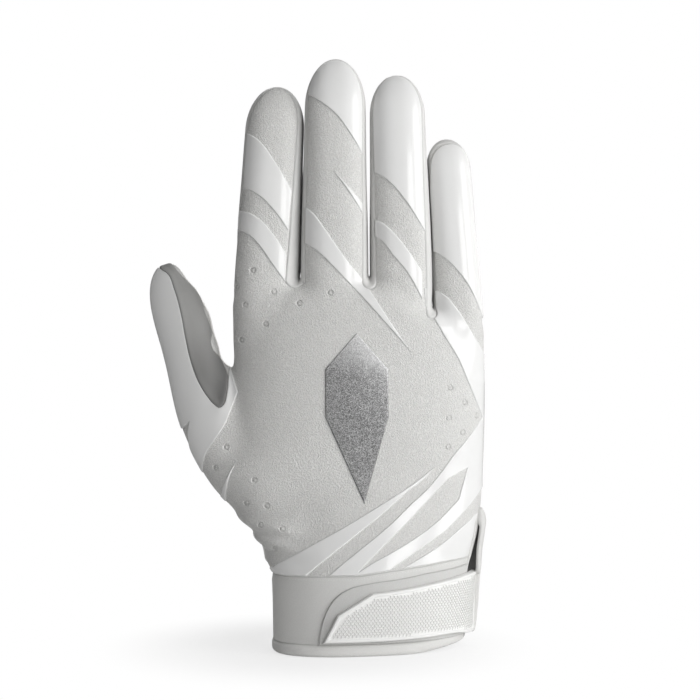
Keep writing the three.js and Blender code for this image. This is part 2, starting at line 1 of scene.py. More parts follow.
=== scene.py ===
import json
import math
import bmesh
import bpy
import numpy as np
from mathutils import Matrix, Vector

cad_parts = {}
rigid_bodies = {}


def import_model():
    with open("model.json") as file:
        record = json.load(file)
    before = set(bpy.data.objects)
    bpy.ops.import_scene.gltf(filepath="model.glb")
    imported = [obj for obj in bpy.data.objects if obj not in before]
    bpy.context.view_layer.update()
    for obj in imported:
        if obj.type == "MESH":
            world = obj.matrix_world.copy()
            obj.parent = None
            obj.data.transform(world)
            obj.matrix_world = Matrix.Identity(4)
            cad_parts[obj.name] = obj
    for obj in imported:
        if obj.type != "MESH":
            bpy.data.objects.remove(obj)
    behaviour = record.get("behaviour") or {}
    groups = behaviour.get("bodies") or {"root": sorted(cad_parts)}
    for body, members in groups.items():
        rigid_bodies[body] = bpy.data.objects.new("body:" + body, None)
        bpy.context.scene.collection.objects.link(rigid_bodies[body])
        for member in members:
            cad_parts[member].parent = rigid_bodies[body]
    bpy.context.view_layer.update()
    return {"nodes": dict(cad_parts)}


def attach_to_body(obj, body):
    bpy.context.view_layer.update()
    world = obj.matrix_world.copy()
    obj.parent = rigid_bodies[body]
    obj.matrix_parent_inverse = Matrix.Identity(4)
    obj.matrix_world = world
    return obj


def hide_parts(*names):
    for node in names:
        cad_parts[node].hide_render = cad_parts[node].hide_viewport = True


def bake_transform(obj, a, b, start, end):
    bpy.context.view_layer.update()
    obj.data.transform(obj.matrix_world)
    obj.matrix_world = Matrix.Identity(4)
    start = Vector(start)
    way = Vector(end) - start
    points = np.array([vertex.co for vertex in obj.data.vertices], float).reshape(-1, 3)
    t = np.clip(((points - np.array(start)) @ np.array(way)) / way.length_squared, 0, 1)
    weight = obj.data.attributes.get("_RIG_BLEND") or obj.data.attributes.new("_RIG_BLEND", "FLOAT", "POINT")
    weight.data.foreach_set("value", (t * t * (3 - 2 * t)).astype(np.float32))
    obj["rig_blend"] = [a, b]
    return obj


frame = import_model()

frameShift = np.array((1.3, 0.5, 0.0))    # pattern to frame, mm
mm = 0.001
farOff = 9.0    # mm that stand for a seam or an edge out of reach


hand = {
    "web": 141.0, "littleDrop": 10.5, "depth": 38.0, "power": 2.4, "span": 97.9, "middle": 15.08,
    "stepFrom": 0.1, "stepTo": 0.3, "capHeight": 9.0, "crotchRaise": 2.4, "fingerBlend": 3.0,
    "thumbBlend": 2.5, "thumbRoom": (8.0, 20.0), "fingerRooms": (0.25, 0.9, 0.25),
}
# height, left, right, half depth, middle, arch, slant
handRows = np.array([
    (0.000, -0.337, 0.426, 0.685, 0.02, 0.00, 0.200), (0.200, -0.344, 0.442, 0.645, 0.02, 0.00, 0.190),
    (0.255, -0.358, 0.459, 0.605, 0.03, 0.01, 0.170), (0.320, -0.423, 0.482, 0.560, 0.04, 0.02, 0.130),
    (0.404, -0.505, 0.497, 0.515, 0.06, 0.03, 0.090), (0.482, -0.5825, 0.500, 0.500, 0.07, 0.05, 0.070),
    (0.567, -0.538, 0.504, 0.490, 0.07, 0.07, 0.050), (0.660, -0.526, 0.507, 0.465, 0.05, 0.09, 0.040),
    (0.766, -0.510, 0.507, 0.425, 0.03, 0.11, 0.030), (0.880, -0.502, 0.502, 0.360, 0.01, 0.12, 0.020),
    (0.965, -0.500, 0.500, 0.310, 0.00, 0.13, 0.020), (1.000, -0.500, 0.500, 0.300, 0.00, 0.13, 0.020),
])
# reach above the web, half width, half depth
fingerRows = np.array([
    (-0.35, 0.84, 0.62), (-0.12, 0.97, 0.93), (0.0, 1.0, 1.0), (0.25, 0.98, 0.98), (0.5, 0.93, 0.93),
    (0.75, 0.90, 0.86), (1.0, 0.85, 0.77),
])
fingerForm = {"power": 2.4, "curl": 7.0, "root": 26.0, "fillRise": 0.1, "fillEnd": 0.62, "fillFade": 0.12,
              "fillDepth": 5.0}
fingers = [
    {"name": "index", "x": -21.17, "width": 25.4, "depth": 20.4, "reach": 79.7, "lean": 4.0, "web": 141.0,
     "capShare": 1.3, "fill": (0.0, 0.7)},
    {"name": "middle", "x": 5.73, "width": 26.2, "depth": 21.0, "reach": 90.2, "lean": 0.3, "web": 141.0,
     "capShare": 1.42, "fill": (0.7, 0.0)},
    {"name": "ring", "x": 31.93, "width": 24.0, "depth": 20.2, "reach": 84.0, "lean": -1.7, "web": 141.0,
     "capShare": 1.32, "fill": (0.0, 0.7)},
    {"name": "little", "x": 54.53, "width": 19.0, "depth": 17.6, "reach": 69.6, "lean": -4.2, "web": 130.5,
     "capShare": 1.2, "fill": (0.7, 0.0)},
]
thumb = {
    "root": (-0.245, 0.08, 0.32), "bend": (-0.6293, 0.16, 0.61), "tip": (-0.7832, 0.31, 1.0668),
    "halfWidth": 12.8, "halfDepth": 11.0, "capHeight": 36.0, "hinge": 0.77, "ends": (-0.05, 1.4),
    "stations": (0, 1.25, 61), "atOnce": 40000,
}
thumbRows = np.array([
    (0.0, 1.286, 1.10), (0.1, 0.994, 1.20), (0.3, 1.270, 1.25), (0.5, 1.201, 1.15), (0.75, 0.834, 1.0),
    (1.0, 1.140, 1.05),
])


def smooth(t):
    s = np.clip(t, 0, 1)
    return s * s * (3 - 2 * s)


def unit(v, least=0.0):    # the same ways, of length one
    return v / np.linalg.norm(v, axis=-1, keepdims=True).clip(least)


def along(rows, at, column):
    x, v = rows[:, 0], rows[:, column]
    k = np.arange(len(x))
    low, high = np.maximum(k - 1, 0), np.minimum(k + 1, len(x) - 1)
    slope = (v[high] - v[low]) / (x[high] - x[low])
    i = np.clip(np.searchsorted(x, at, side="left") - 1, 0, len(x) - 2)
    step = x[i + 1] - x[i]
    t = np.clip((at - x[i]) / step, 0, 1)
    return ((2 * t**3 - 3 * t**2 + 1) * v[i] + (t**3 - 2 * t**2 + t) * step * slope[i]
            + (3 * t**2 - 2 * t**3) * v[i + 1] + (t**3 - t**2) * step * slope[i + 1])


def handAt(z):
    share = np.maximum(z, 0) / hand["web"]
    left = hand["middle"] + along(handRows, share, 1) * hand["span"]
    right = hand["middle"] + along(handRows, share, 2) * hand["span"]
    depths = (along(handRows, share, column) * hand["depth"] for column in (3, 4, 5, 6))
    return ((left + right) / 2, (right - left) / 2, *depths)


def handTop(x):
    start = hand["middle"] + hand["stepFrom"] * hand["span"]
    end = hand["middle"] + hand["stepTo"] * hand["span"]
    return hand["web"] + hand["crotchRaise"] - hand["littleDrop"] * smooth((x - start) / (end - start))


def partY(x, z):    # where the back meets the palm
    midX, halfWidth, _, midY, arch, slant = handAt(np.minimum(z, hand["web"]))
    u = (x - midX) / halfWidth
    top = hand["web"] + fingers[1]["reach"]
    curl = fingerForm["curl"] * np.maximum((z - hand["web"]) / (top - hand["web"]), 0) ** 2
    return midY + arch * u * u + slant * u + curl


def roundField(u, v, halfU, halfV, power):    # superellipse radius and its steepness
    a, b = np.abs(u) + 1e-9, np.abs(v) + 1e-9
    r = (a**power + b**power) ** (1 / power)
    steep = r ** (1 - power) * np.sqrt((a ** (power - 1) / halfU) ** 2 + (b ** (power - 1) / halfV) ** 2)
    return r, steep


def handField(x, y, z):
    midX, halfWidth, halfDepth, midY, arch, slant = handAt(z)
    u = (x - midX) / halfWidth
    v = (y - (midY + arch * u * u + slant * u)) / halfDepth
    cap = hand["capHeight"] + hand["crotchRaise"]
    w = np.maximum((z - (handTop(x) - cap)) / cap, 0)
    n = hand["power"]
    r0, steep0 = roundField(u, v, halfWidth, halfDepth, n)
    r = (r0**n + w**n) ** (1 / n)
    steep = np.sqrt(((r0 / r) ** (n - 1) * steep0) ** 2 + ((w / r) ** (n - 1) / cap) ** 2)
    return (r - 1) / steep


def fingerAt(f, z):
    share = (z - f["web"]) / f["reach"]
    up = np.maximum(share, 0)
    return (f["x"] + f["lean"] * up, f["y"] + fingerForm["curl"] * up**2,
            along(fingerRows, share, 1) * f["width"] / 2, along(fingerRows, share, 2) * f["depth"] / 2)


def fingerField(f, x, y, z):
    midX, midY, halfWidth, halfDepth = fingerAt(f, z)
    share = (z - f["web"]) / f["reach"]
    fill = smooth(share / fingerForm["fillRise"]) * smooth((fingerForm["fillEnd"] - share) / fingerForm["fillFade"])
    fill = fill * smooth((y - midY + 1) / fingerForm["fillDepth"])
    left, right = (part / 2 * fill for part in f["fill"])    # they touch their neighbours towards the palm side
    midX, halfWidth = midX + right - left, halfWidth + left + right
    cap = f["capShare"] * f["width"] / 2
    climb = np.maximum((z - (f["web"] + f["reach"] - cap)) / cap, 0)
    r0, steep0 = roundField((x - midX) / halfWidth, (y - midY) / halfDepth, halfWidth, halfDepth,
                            fingerForm["power"])
    r = np.sqrt(r0**2 + climb**2)
    steep = np.sqrt((r0 / r * steep0) ** 2 + (climb / r / cap) ** 2)
    return np.maximum((r - 1) / steep, f["web"] - fingerForm["root"] - z)


for f in fingers:
    midX, halfWidth, _, midY, arch, slant = (float(v) for v in handAt(np.array(hand["web"])))
    u = (f["x"] - midX) / halfWidth
    f["y"] = midY + arch * u * u + slant * u

thumbLine = [np.array((hand["middle"] + a * hand["span"], d * hand["depth"], c * hand["web"]))
             for a, d, c in (thumb["root"], thumb["bend"], thumb["tip"])]


def thumbPoint(t):
    t = np.asarray(t)[..., None]
    a, b, c = thumbLine
    return (1 - t) ** 2 * a + 2 * t * (1 - t) * b + t**2 * c


def thumbSlope(t):
    t = np.asarray(t)[..., None]
    a, b, c = thumbLine
    return 2 * (1 - t) * (b - a) + 2 * t * (c - b)


def thumbFrame(t):
    up = unit(thumbSlope(t))
    across = unit(np.cross(np.array((0.0, 1.0, 0.0)), up))
    return thumbPoint(t), up, across, np.cross(up, across)


thumbLength = float(np.linalg.norm(np.diff(thumbPoint(np.linspace(0, 1, 400)), axis=0), axis=1).sum())


def thumbField(p):
    stations = np.linspace(*thumb["stations"])
    places = thumbPoint(stations)
    t = np.empty(len(p))
    for k in range(0, len(p), thumb["atOnce"]):
        some = slice(k, k + thumb["atOnce"])
        t[some] = stations[((p[some, None] - places[None]) ** 2).sum(2).argmin(1)]
    curve = 2 * (thumbLine[2] - 2 * thumbLine[1] + thumbLine[0])
    for _ in range(2):    # on from the nearest station to the nearest point
        gap, slope = thumbPoint(t) - p, thumbSlope(t)
        t = t - (gap * slope).sum(1) / ((slope * slope).sum(1) + (gap * curve).sum(1)).clip(200)
    t = t.clip(*thumb["ends"])
    at, up, across, deep = thumbFrame(t)
    off = p - at
    halfWidth = along(thumbRows, t, 1) * thumb["halfWidth"]
    halfDepth = along(thumbRows, t, 2) * thumb["halfDepth"]
    r0, steep0 = roundField((off * across).sum(1) / halfWidth, (off * deep).sum(1) / halfDepth,
                            halfWidth, halfDepth, fingerForm["power"])
    share = thumb["capHeight"] / thumbLength
    cap = np.maximum((t - (1 - share)) / share, 0)
    r = np.sqrt(r0**2 + cap**2)
    steep = np.sqrt((r0 / r * steep0) ** 2 + (cap / r / thumb["capHeight"]) ** 2)
    base, baseUp, _, _ = thumbFrame(np.array(0.0))
    return np.maximum((r - 1) / steep, -((p - base) @ baseUp))


def softLeast(a, b, k):
    h = np.maximum(k - np.abs(a - b), 0) / k
    return np.minimum(a, b) - h * h * k / 4


# soft hollows and swellings: x, z, radius across, radius up, height, turn
swells = [
    (-11.0, 50.5, 8.0, 5.0, 0.7, 20), (4.0, 53.5, 8.0, 5.0, 0.6, 10), (-3.0, 47.0, 9.0, 4.0, -0.5, 15),
    (-19.5, 116.0, 12.0, 14.0, 0.5, 0), (5.7, 133.0, 11.0, 12.0, 0.3, 0), (32.0, 130.0, 10.0, 12.0, 0.3, 0),
    (-40.5, 102.0, 4.0, 9.0, -1.3, -15), (-48.0, 88.0, 5.0, 9.0, 0.7, -25), (-40.0, 82.0, 4.0, 9.0, -0.4, -25),
    (-24.0, 58.0, 7.0, 6.0, 0.5, 0),
]
# the same for the thumb's edge towards the hand, on both its faces
thumbSwells = [(-52.5, 145.5, 5.0, 5.0, -1.5), (-44.5, 130.0, 5.0, 6.0, 1.1), (-38.5, 112.5, 4.0, 5.0, -1.9)]
# folds at the thumb's side of the wrist: height, depth of the tuck
wristFolds = [(46.3, 1.3), (40.3, 0.9), (31.6, 1.0)]
foldForm = {"from": -4, "over": 16, "behind": 8, "fade": 5, "slant": 0.12, "about": 24, "high": 2.6,
            "swell": 0.9, "tuck": 0.3, "tuckShare": 0.8, "tuckTight": 2.2}


def swellAt(x, y, z):
    part = partY(x, z)
    front = smooth((part - y) / 8)
    made = 0.0
    for cx, cz, rx, rz, height, turn in swells:
        c, s = math.cos(math.radians(turn)), math.sin(math.radians(turn))
        a, b = ((x - cx) * c + (z - cz) * s) / rx, ((z - cz) * c - (x - cx) * s) / rz
        made = made + height * np.exp(-(a * a + b * b)) * front
    for cx, cz, rx, rz, height in thumbSwells:
        made = made + height * np.exp(-(((x - cx) / rx) ** 2 + ((z - cz) / rz) ** 2))
    left = smooth((foldForm["from"] - x) / foldForm["over"])
    left = left * smooth((part + foldForm["behind"] - y) / foldForm["fade"])
    for height, depth in wristFolds:
        d = (z - height + foldForm["slant"] * (x + foldForm["about"])) / foldForm["high"]
        tuck = np.exp(-((d + foldForm["tuck"]) ** 2) * foldForm["tuckTight"])
        made = made + depth * left * (np.exp(-((d - foldForm["swell"]) ** 2)) - foldForm["tuckShare"] * tuck)
    return made


def gloveField(x, y, z):
    near = [fingerField(f, x, y, z) for f in fingers]
    apart = list(near)
    for k, room in enumerate(hand["fingerRooms"]):
        half = (near[k + 1] - near[k]) / 2
        apart[k] = np.maximum(apart[k], room / 2 - half)
        apart[k + 1] = np.maximum(apart[k + 1], room / 2 + half)
    closest = np.minimum(np.minimum(apart[0], apart[1]), np.minimum(apart[2], apart[3]))
    made = softLeast(closest, handField(x, y, z), hand["fingerBlend"])
    full = [np.broadcast_to(v, made.shape) for v in (x, y, z)]
    where = (full[0] < hand["thumbRoom"][0]) & (full[2] > hand["thumbRoom"][1])
    p = np.stack([v[where] for v in full], -1)
    made = made.copy()
    made[where] = softLeast(made[where], thumbField(p), hand["thumbBlend"])
    return made - swellAt(x, y, z)


def slopeAt(p, step=0.04):    # outward direction on the glove's face, and the field there
    here = gloveField(*p.T)
    g = np.stack([gloveField(*(p + step * np.eye(3)[k]).T) - here for k in range(3)], -1) / step
    return here, g


def upright(p):    # the outward direction on the face, of length one
    return unit(slopeAt(p)[1])


def settleOn(p, rounds=3):    # draws points onto the face
    for _ in range(rounds):
        here, g = slopeAt(p)
        p = p - here[:, None] * g / (g * g).sum(1, keepdims=True).clip(0.2)
    return p


def cellAt(at, one, two, i, j):    # a cell that touches each crossed piece of the grid's lines
    cell = at.copy()
    cell[:, one] -= i
    cell[:, two] -= j
    return cell


def netOf(xs, ys, zs):    # one closed net of quads on the face
    value = gloveField(xs[:, None, None], ys[None, :, None], zs[None, None, :])
    cells = tuple(n - 1 for n in value.shape)
    total, hits = np.zeros(cells + (3,)), np.zeros(cells)
    lines, crossed, quads = (xs, ys, zs), [], []
    for axis in range(3):
        a, b = np.moveaxis(value, axis, 0)[:-1], np.moveaxis(value, axis, 0)[1:]
        a, b = np.moveaxis(a, 0, axis), np.moveaxis(b, 0, axis)
        at = np.argwhere((a < 0) != (b < 0))
        va, vb = a[tuple(at.T)], b[tuple(at.T)]
        p = np.stack([lines[k][at[:, k]] for k in range(3)], -1)
        nextOn = lines[axis][at[:, axis] + 1]
        p[:, axis] += (nextOn - p[:, axis]) * va / (va - vb)
        one, two = (axis + 1) % 3, (axis + 2) % 3
        for i, j in ((0, 0), (0, 1), (1, 0), (1, 1)):
            cell = cellAt(at, one, two, i, j)
            fits = ((cell >= 0) & (cell < np.array(cells))).all(1)
            np.add.at(total, tuple(cell[fits].T), p[fits])
            np.add.at(hits, tuple(cell[fits].T), 1)
        crossed.append((at, va < 0, one, two))
    number = np.cumsum((hits > 0).ravel()).reshape(cells) - 1
    points = total[hits > 0] / hits[hits > 0][:, None]
    for at, outward, one, two in crossed:
        inside = ((at[:, [one, two]] >= 1) & (at[:, [one, two]] < np.array(cells)[[one, two]])).all(1)
        at, outward = at[inside], outward[inside]
        quad = np.stack([number[tuple(cellAt(at, one, two, i, j).T)]
                         for i, j in ((1, 1), (0, 1), (0, 0), (1, 0))], -1)
        quad[~outward] = quad[~outward][:, ::-1]
        quads.append(quad)
    return points, np.concatenate(quads)


def halved(points, quads):    # each quad parted along its shorter way across
    a, b, c, d = (points[quads[:, k]] for k in range(4))
    short = ((a - c) ** 2).sum(1) <= ((b - d) ** 2).sum(1)
    first = np.where(short[:, None], quads[:, [0, 1, 2]], quads[:, [0, 1, 3]])
    second = np.where(short[:, None], quads[:, [0, 2, 3]], quads[:, [1, 2, 3]])
    return np.concatenate([first, second])


def parted(tris, crosses, fresh):    # triangles cut at new points on one, two or three of their edges
    made, many = [], crosses.sum(1)
    t, f = tris[many == 3], fresh[many == 3]
    made += [np.stack(c, -1) for c in ((t[:, 0], f[:, 0], f[:, 2]), (t[:, 1], f[:, 1], f[:, 0]),
                                       (t[:, 2], f[:, 2], f[:, 1]), (f[:, 0], f[:, 1], f[:, 2]))]
    for k in range(3):
        n, o = (k + 1) % 3, (k + 2) % 3
        lone = (many == 2) & crosses[:, k] & crosses[:, o]
        c, m, e, p, q = tris[lone, k], tris[lone, n], tris[lone, o], fresh[lone, k], fresh[lone, o]
        made += [np.stack(f, -1) for f in ((c, p, q), (p, m, e), (p, e, q))]
        flush = (many == 1) & crosses[:, k]
        c, m, e, p = tris[flush, k], tris[flush, n], tris[flush, o], fresh[flush, k]
        made += [np.stack(f, -1) for f in ((e, c, p), (e, p, m))]
    return made


class Skin:    # triangles with named values at their points
    def __init__(self, values, tris):
        self.values, self.tris = values, tris

    def split(self, name, only=None):    # new points where a value passes nought
        value, tris = self.values[name], self.tris
        sign = np.where(np.abs(value) < 1e-3, 0, np.sign(value)).astype(int)
        s = sign[tris]
        mixed = (s.max(1) > 0) & (s.min(1) < 0)
        if only is not None:
            mixed &= only
        if not mixed.any():
            return self
        kept, t, s = tris[~mixed], tris[mixed], s[mixed]
        edge = np.stack([t[:, [0, 1]], t[:, [1, 2]], t[:, [2, 0]]], 1)
        crosses = s * s[:, [1, 2, 0]] < 0
        count = len(value)
        pair = np.sort(edge.reshape(-1, 2), 1)[crosses.ravel()]
        unique, back = np.unique(pair[:, 0].astype(np.int64) * count + pair[:, 1], return_inverse=True)
        a, b = unique // count, unique % count
        w = value[a] / (value[a] - value[b])
        values = {}
        for key, v in self.values.items():
            share = w if v.ndim == 1 else w[:, None]
            values[key] = np.concatenate([v, v[a] + (v[b] - v[a]) * share])
        values[name][count:] = 0
        fresh = np.full(len(t) * 3, -1)
        fresh[crosses.ravel()] = count + back
        return Skin(values, np.concatenate([kept, *parted(t, crosses, fresh.reshape(-1, 3))]))

    def halve(self, chosen):    # chosen triangles in four, and their neighbours to match
        tris, count = self.tris, len(self.values["place"])
        edge = np.sort(np.stack([tris[:, [0, 1]], tris[:, [1, 2]], tris[:, [2, 0]]], 1), 2)
        key = edge[..., 0].astype(np.int64) * count + edge[..., 1]
        unique = np.unique(key[chosen])
        if not len(unique):
            return self
        a, b = unique // count, unique % count
        values = {name: np.concatenate([v, (v[a] + v[b]) / 2]) for name, v in self.values.items()}
        crosses = np.isin(key, unique)
        whole_ = tris[~crosses.any(1)]
        return Skin(values, np.concatenate([whole_, *parted(tris, crosses, count + np.searchsorted(unique, key))]))

    def cutAt(self, value, only=None):    # new points where a value without a name passes nought
        self.values["level"] = value
        return self.split("level", only)

    def at(self, name):    # a value at the triangles' middles
        return self.values[name][self.tris].mean(1)

    def part(self, chosen):
        tris = self.tris[chosen]
        used, back = np.unique(tris, return_inverse=True)
        return Skin({k: v[used] for k, v in self.values.items()}, back.reshape(-1, 3))


def lengthsOf(line):    # the way along a line to each of its points
    return np.concatenate([[0], np.cumsum(np.linalg.norm(np.diff(line, axis=0), axis=1))])


def pointsOn(line, way, wanted):    # points on a line at wanted lengths
    return np.stack([np.interp(wanted, way, line[:, k]) for k in range(line.shape[1])], -1)


def spread(line, pitch):    # even points along a line
    way = lengthsOf(line)
    return pointsOn(line, way, np.linspace(0, way[-1], max(int(way[-1] / pitch), 2)))


def chained(strokes):    # each stroke starts where the one before it ends
    return strokes[:1] + [[before[-1], *stroke] for before, stroke in zip(strokes, strokes[1:])]


def strokeLine(strokes, step=0.8):    # one closed line; each stroke is smooth and they meet in corners
    made = []
    for stroke in strokes:
        p = np.array(stroke, float)
        if len(p) == 2:
            n = max(int(np.linalg.norm(p[1] - p[0]) / step), 1)
            made.append(p[0] + (p[1] - p[0]) * np.arange(n)[:, None] / n)
            continue
        way = lengthsOf(p)
        slope = np.gradient(p, way, axis=0)
        t = np.linspace(0, way[-1], max(int(way[-1] / step), 4), endpoint=False)
        i = np.clip(np.searchsorted(way, t, side="right") - 1, 0, len(p) - 2)
        h = (way[i + 1] - way[i])[:, None]
        s = (t - way[i])[:, None] / h
        made.append((2 * s**3 - 3 * s**2 + 1) * p[i] + (s**3 - 2 * s**2 + s) * h * slope[i]
                    + (3 * s**2 - 2 * s**3) * p[i + 1] + (s**3 - s**2) * h * slope[i + 1])
    return np.concatenate(made)


lineReach = 7.0    # mm from an outline, past which its distance isn't followed


def lineField(line, a, b, reach=lineReach):    # distance inside a closed line, and the way it grows
    value, grow = np.full(len(a), -reach), np.zeros((len(a), 2))
    low, high = line.min(0) - reach, line.max(0) + reach
    near = np.flatnonzero((a > low[0]) & (a < high[0]) & (b > low[1]) & (b < high[1]))
    start, end = line, np.roll(line, -1, axis=0)
    run = end - start
    long = (run**2).sum(1).clip(1e-9)
    rise = np.where(np.abs(run[:, 1]) < 1e-9, 1e-9, run[:, 1])
    for k in range(0, len(near), 8000):
        i = near[k:k + 8000]
        p = np.stack([a[i], b[i]], -1)
        rel = p[:, None] - start[None]
        t = np.clip((rel * run[None]).sum(2) / long, 0, 1)
        off = rel - t[..., None] * run[None]
        away = (off**2).sum(2)
        best = away.argmin(1)
        rows = np.arange(len(i))
        distance = np.sqrt(away[rows, best]).clip(1e-6)
        over = (start[None, :, 1] > p[:, None, 1]) != (end[None, :, 1] > p[:, None, 1])
        reachX = start[None, :, 0] + run[None, :, 0] * (p[:, None, 1] - start[None, :, 1]) / rise
        sign = np.where((over & (p[:, None, 0] < reachX)).sum(1) % 2 == 1, 1, -1)
        value[i] = (sign * distance).clip(-reach)
        grow[i] = off[rows, best] / distance[:, None] * sign[:, None]
    return value, grow


def drawnField(strokes, p):    # the same for an outline drawn on the glove's front, in x and z
    value, grow = lineField(strokeLine(strokes), p[:, 0], p[:, 2])
    return value, np.stack([grow[:, 0], np.zeros(len(p)), grow[:, 1]], -1)


def lesser(one, two):
    pick = one[0] <= two[0]
    return np.where(pick, one[0], two[0]), np.where(pick[:, None], one[1], two[1])


def turned(field):    # the outside of a field
    return -field[0], -field[1]


def addObject(name, data):
    made = bpy.data.objects.new(name, data)
    bpy.context.scene.collection.objects.link(made)
    return made


def give(mesh, key, v):    # a named value or direction at each of a mesh's points
    kind, field = ("FLOAT_VECTOR", "vector") if v.ndim == 2 else ("FLOAT", "value")
    mesh.attributes.new(key, kind, "POINT").data.foreach_set(field, v.astype(np.float32).ravel())


def makeMesh(name, points, tris, loopNormals=None, values=None):
    mesh = bpy.data.meshes.new(name)
    mesh.vertices.add(len(points))
    mesh.loops.add(len(tris) * 3)
    mesh.polygons.add(len(tris))
    mesh.vertices.foreach_set("co", ((points + frameShift) * mm).astype(np.float32).ravel())
    mesh.loops.foreach_set("vertex_index", tris.astype(np.int32).ravel())
    mesh.polygons.foreach_set("loop_start", np.arange(0, len(tris) * 3, 3, dtype=np.int32))
    mesh.polygons.foreach_set("use_smooth", np.ones(len(tris), bool))
    mesh.update(calc_edges=True)
    for key, v in (values or {}).items():
        give(mesh, key, v)
    if loopNormals is not None:
        mesh.normals_split_custom_set(loopNormals.astype(np.float32))
    return addObject(name, mesh)


def shellOf(name, skin, top, bottom, normals=None):    # a closed piece between two heights over the face
    p, n, tris = skin.values["place"], skin.values["normal"], skin.tris
    count = len(p)
    top, bottom = np.broadcast_to(top, count), np.broadcast_to(bottom, count)
    points = np.concatenate([p + n * top[:, None], p + n * bottom[:, None]])
    edges = np.concatenate([tris[:, [0, 1]], tris[:, [1, 2]], tris[:, [2, 0]]])
    key = edges[:, 0].astype(np.int64) * count + edges[:, 1]
    a, b = edges[~np.isin(key, edges[:, 1].astype(np.int64) * count + edges[:, 0])].T    # the open rim
    rim = np.concatenate([np.stack([b, a, a + count], -1), np.stack([b, a + count, b + count], -1)])
    up = n if normals is None else normals
    flat = unit(np.cross(points[rim[:, 1]] - points[rim[:, 0]], points[rim[:, 2]] - points[rim[:, 0]]), 1e-9)
    loops = np.concatenate([up[tris].reshape(-1, 3), -n[tris[:, ::-1]].reshape(-1, 3), np.repeat(flat, 3, axis=0)])
    found = {"edge": np.full(count, farOff), **{k: skin.values[k] for k in ("edge", "deep") if k in skin.values}}
    values = {k: np.concatenate([v, v]) for k, v in found.items()}
    return makeMesh(name, points, np.concatenate([tris, tris[:, ::-1] + count, rim]), loops, values)


# where the fingers and the thumb part from the hand, all in mm above the web or the hinge
cuts = {
    "base": 4.5, "baseTop": 16.0, "bendShare": 0.42, "bendRoom": 9.0, "thumbBelow": 6.0, "thumbAbove": 10.0,
    "thumbEdge": -38.5, "thumbFoot": 90.0, "off": -20.0,
}
for f in fingers:
    turn = math.atan2(f["lean"], f["reach"])
    f["up"] = np.array((math.sin(turn), 0, math.cos(turn)))
    f["foot"] = np.array((f["x"], 0, f["web"]))
    f["bend"] = cuts["bendShare"] * f["reach"]
    f["parting"] = (cuts["baseTop"] + f["bend"] - cuts["bendRoom"]) / 2

thumbHinge, hingeUp, _, _ = thumbFrame(np.array(thumb["hinge"]))
thumbUp = np.array((hingeUp[0], 0, hingeUp[2])) / math.hypot(hingeUp[0], hingeUp[2])


def fingerOf(p):    # the finger that each point belongs to
    return np.argmin([fingerField(f, *p.T) for f in fingers], axis=0)


def risesAt(p):    # heights above each one's web, above its parting, and above the thumb's cut
    which = fingerOf(p)
    ups = np.array([f["up"] for f in fingers])[which]
    feet = np.array([f["foot"] for f in fingers])[which]
    rise = ((p - feet) * ups).sum(1)
    far = p[:, 0] < cuts["thumbEdge"]
    rise[far] = cuts["off"]
    part = rise - np.array([f["parting"] for f in fingers])[which]
    thumbRise = (p - thumbHinge) @ thumbUp + cuts["thumbBelow"]
    thumbRise[~far | (p[:, 2] < cuts["thumbFoot"])] = cuts["off"]
    return rise - cuts["base"], part, thumbRise


# seams of the fingers: how far out they lie, as shares of the half width at web, middle and tip
seams = {
    "front": [((1.06, 0.925, 0.93), (0.60, 0.74, 0.86)), ((0.88, 0.91, 0.96), (0.83, 0.88, 0.94)),
              ((0.82, 0.87, 0.94), (0.80, 0.83, 0.90)), ((0.93, 0.945, 0.96), (1.06, 0.98, 0.98))],
    "rear": [((1.06, 0.88, 0.88), (0.88, 0.88, 0.88)), ((0.88, 0.88, 0.88), (0.88, 0.88, 0.88)),
             ((0.88, 0.88, 0.88), (0.88, 0.88, 0.88)), ((0.88, 0.88, 0.88), (1.06, 0.88, 0.88))],
    "frontFeet": (140.2, 139.7, 128.3), "rearFeet": (137.5, 137.5, 126.5), "frontTip": 0.45, "rearTip": 2.4,
    "extend": 14.0, "over": 1.0,
}


def seamLine(f, left, right, tip):    # the closed line round a finger's back, or its palm side
    cap = f["capShare"] * f["width"] / 2
    top = f["web"] + f["reach"]
    z = np.concatenate([np.linspace(f["web"] - seams["extend"], top - cap, 36),
                        top - cap + cap * np.sin(np.linspace(0, math.pi / 2, 20)[1:])])
    climb = np.clip((z - top + cap) / cap, 0, 1)
    midX, _, halfWidth, _ = fingerAt(f, z)
    halfWidth = halfWidth * np.sqrt(1 - climb**2)
    share = np.clip((z - f["web"]) / f["reach"], 0, 1)
    low, high = (np.interp(share, (0, 0.5, 1), s) * halfWidth for s in (left, right))
    z = z - tip * climb
    return np.concatenate([np.stack([midX + high, z], -1), np.stack([midX - low, z], -1)[::-1][1:]])


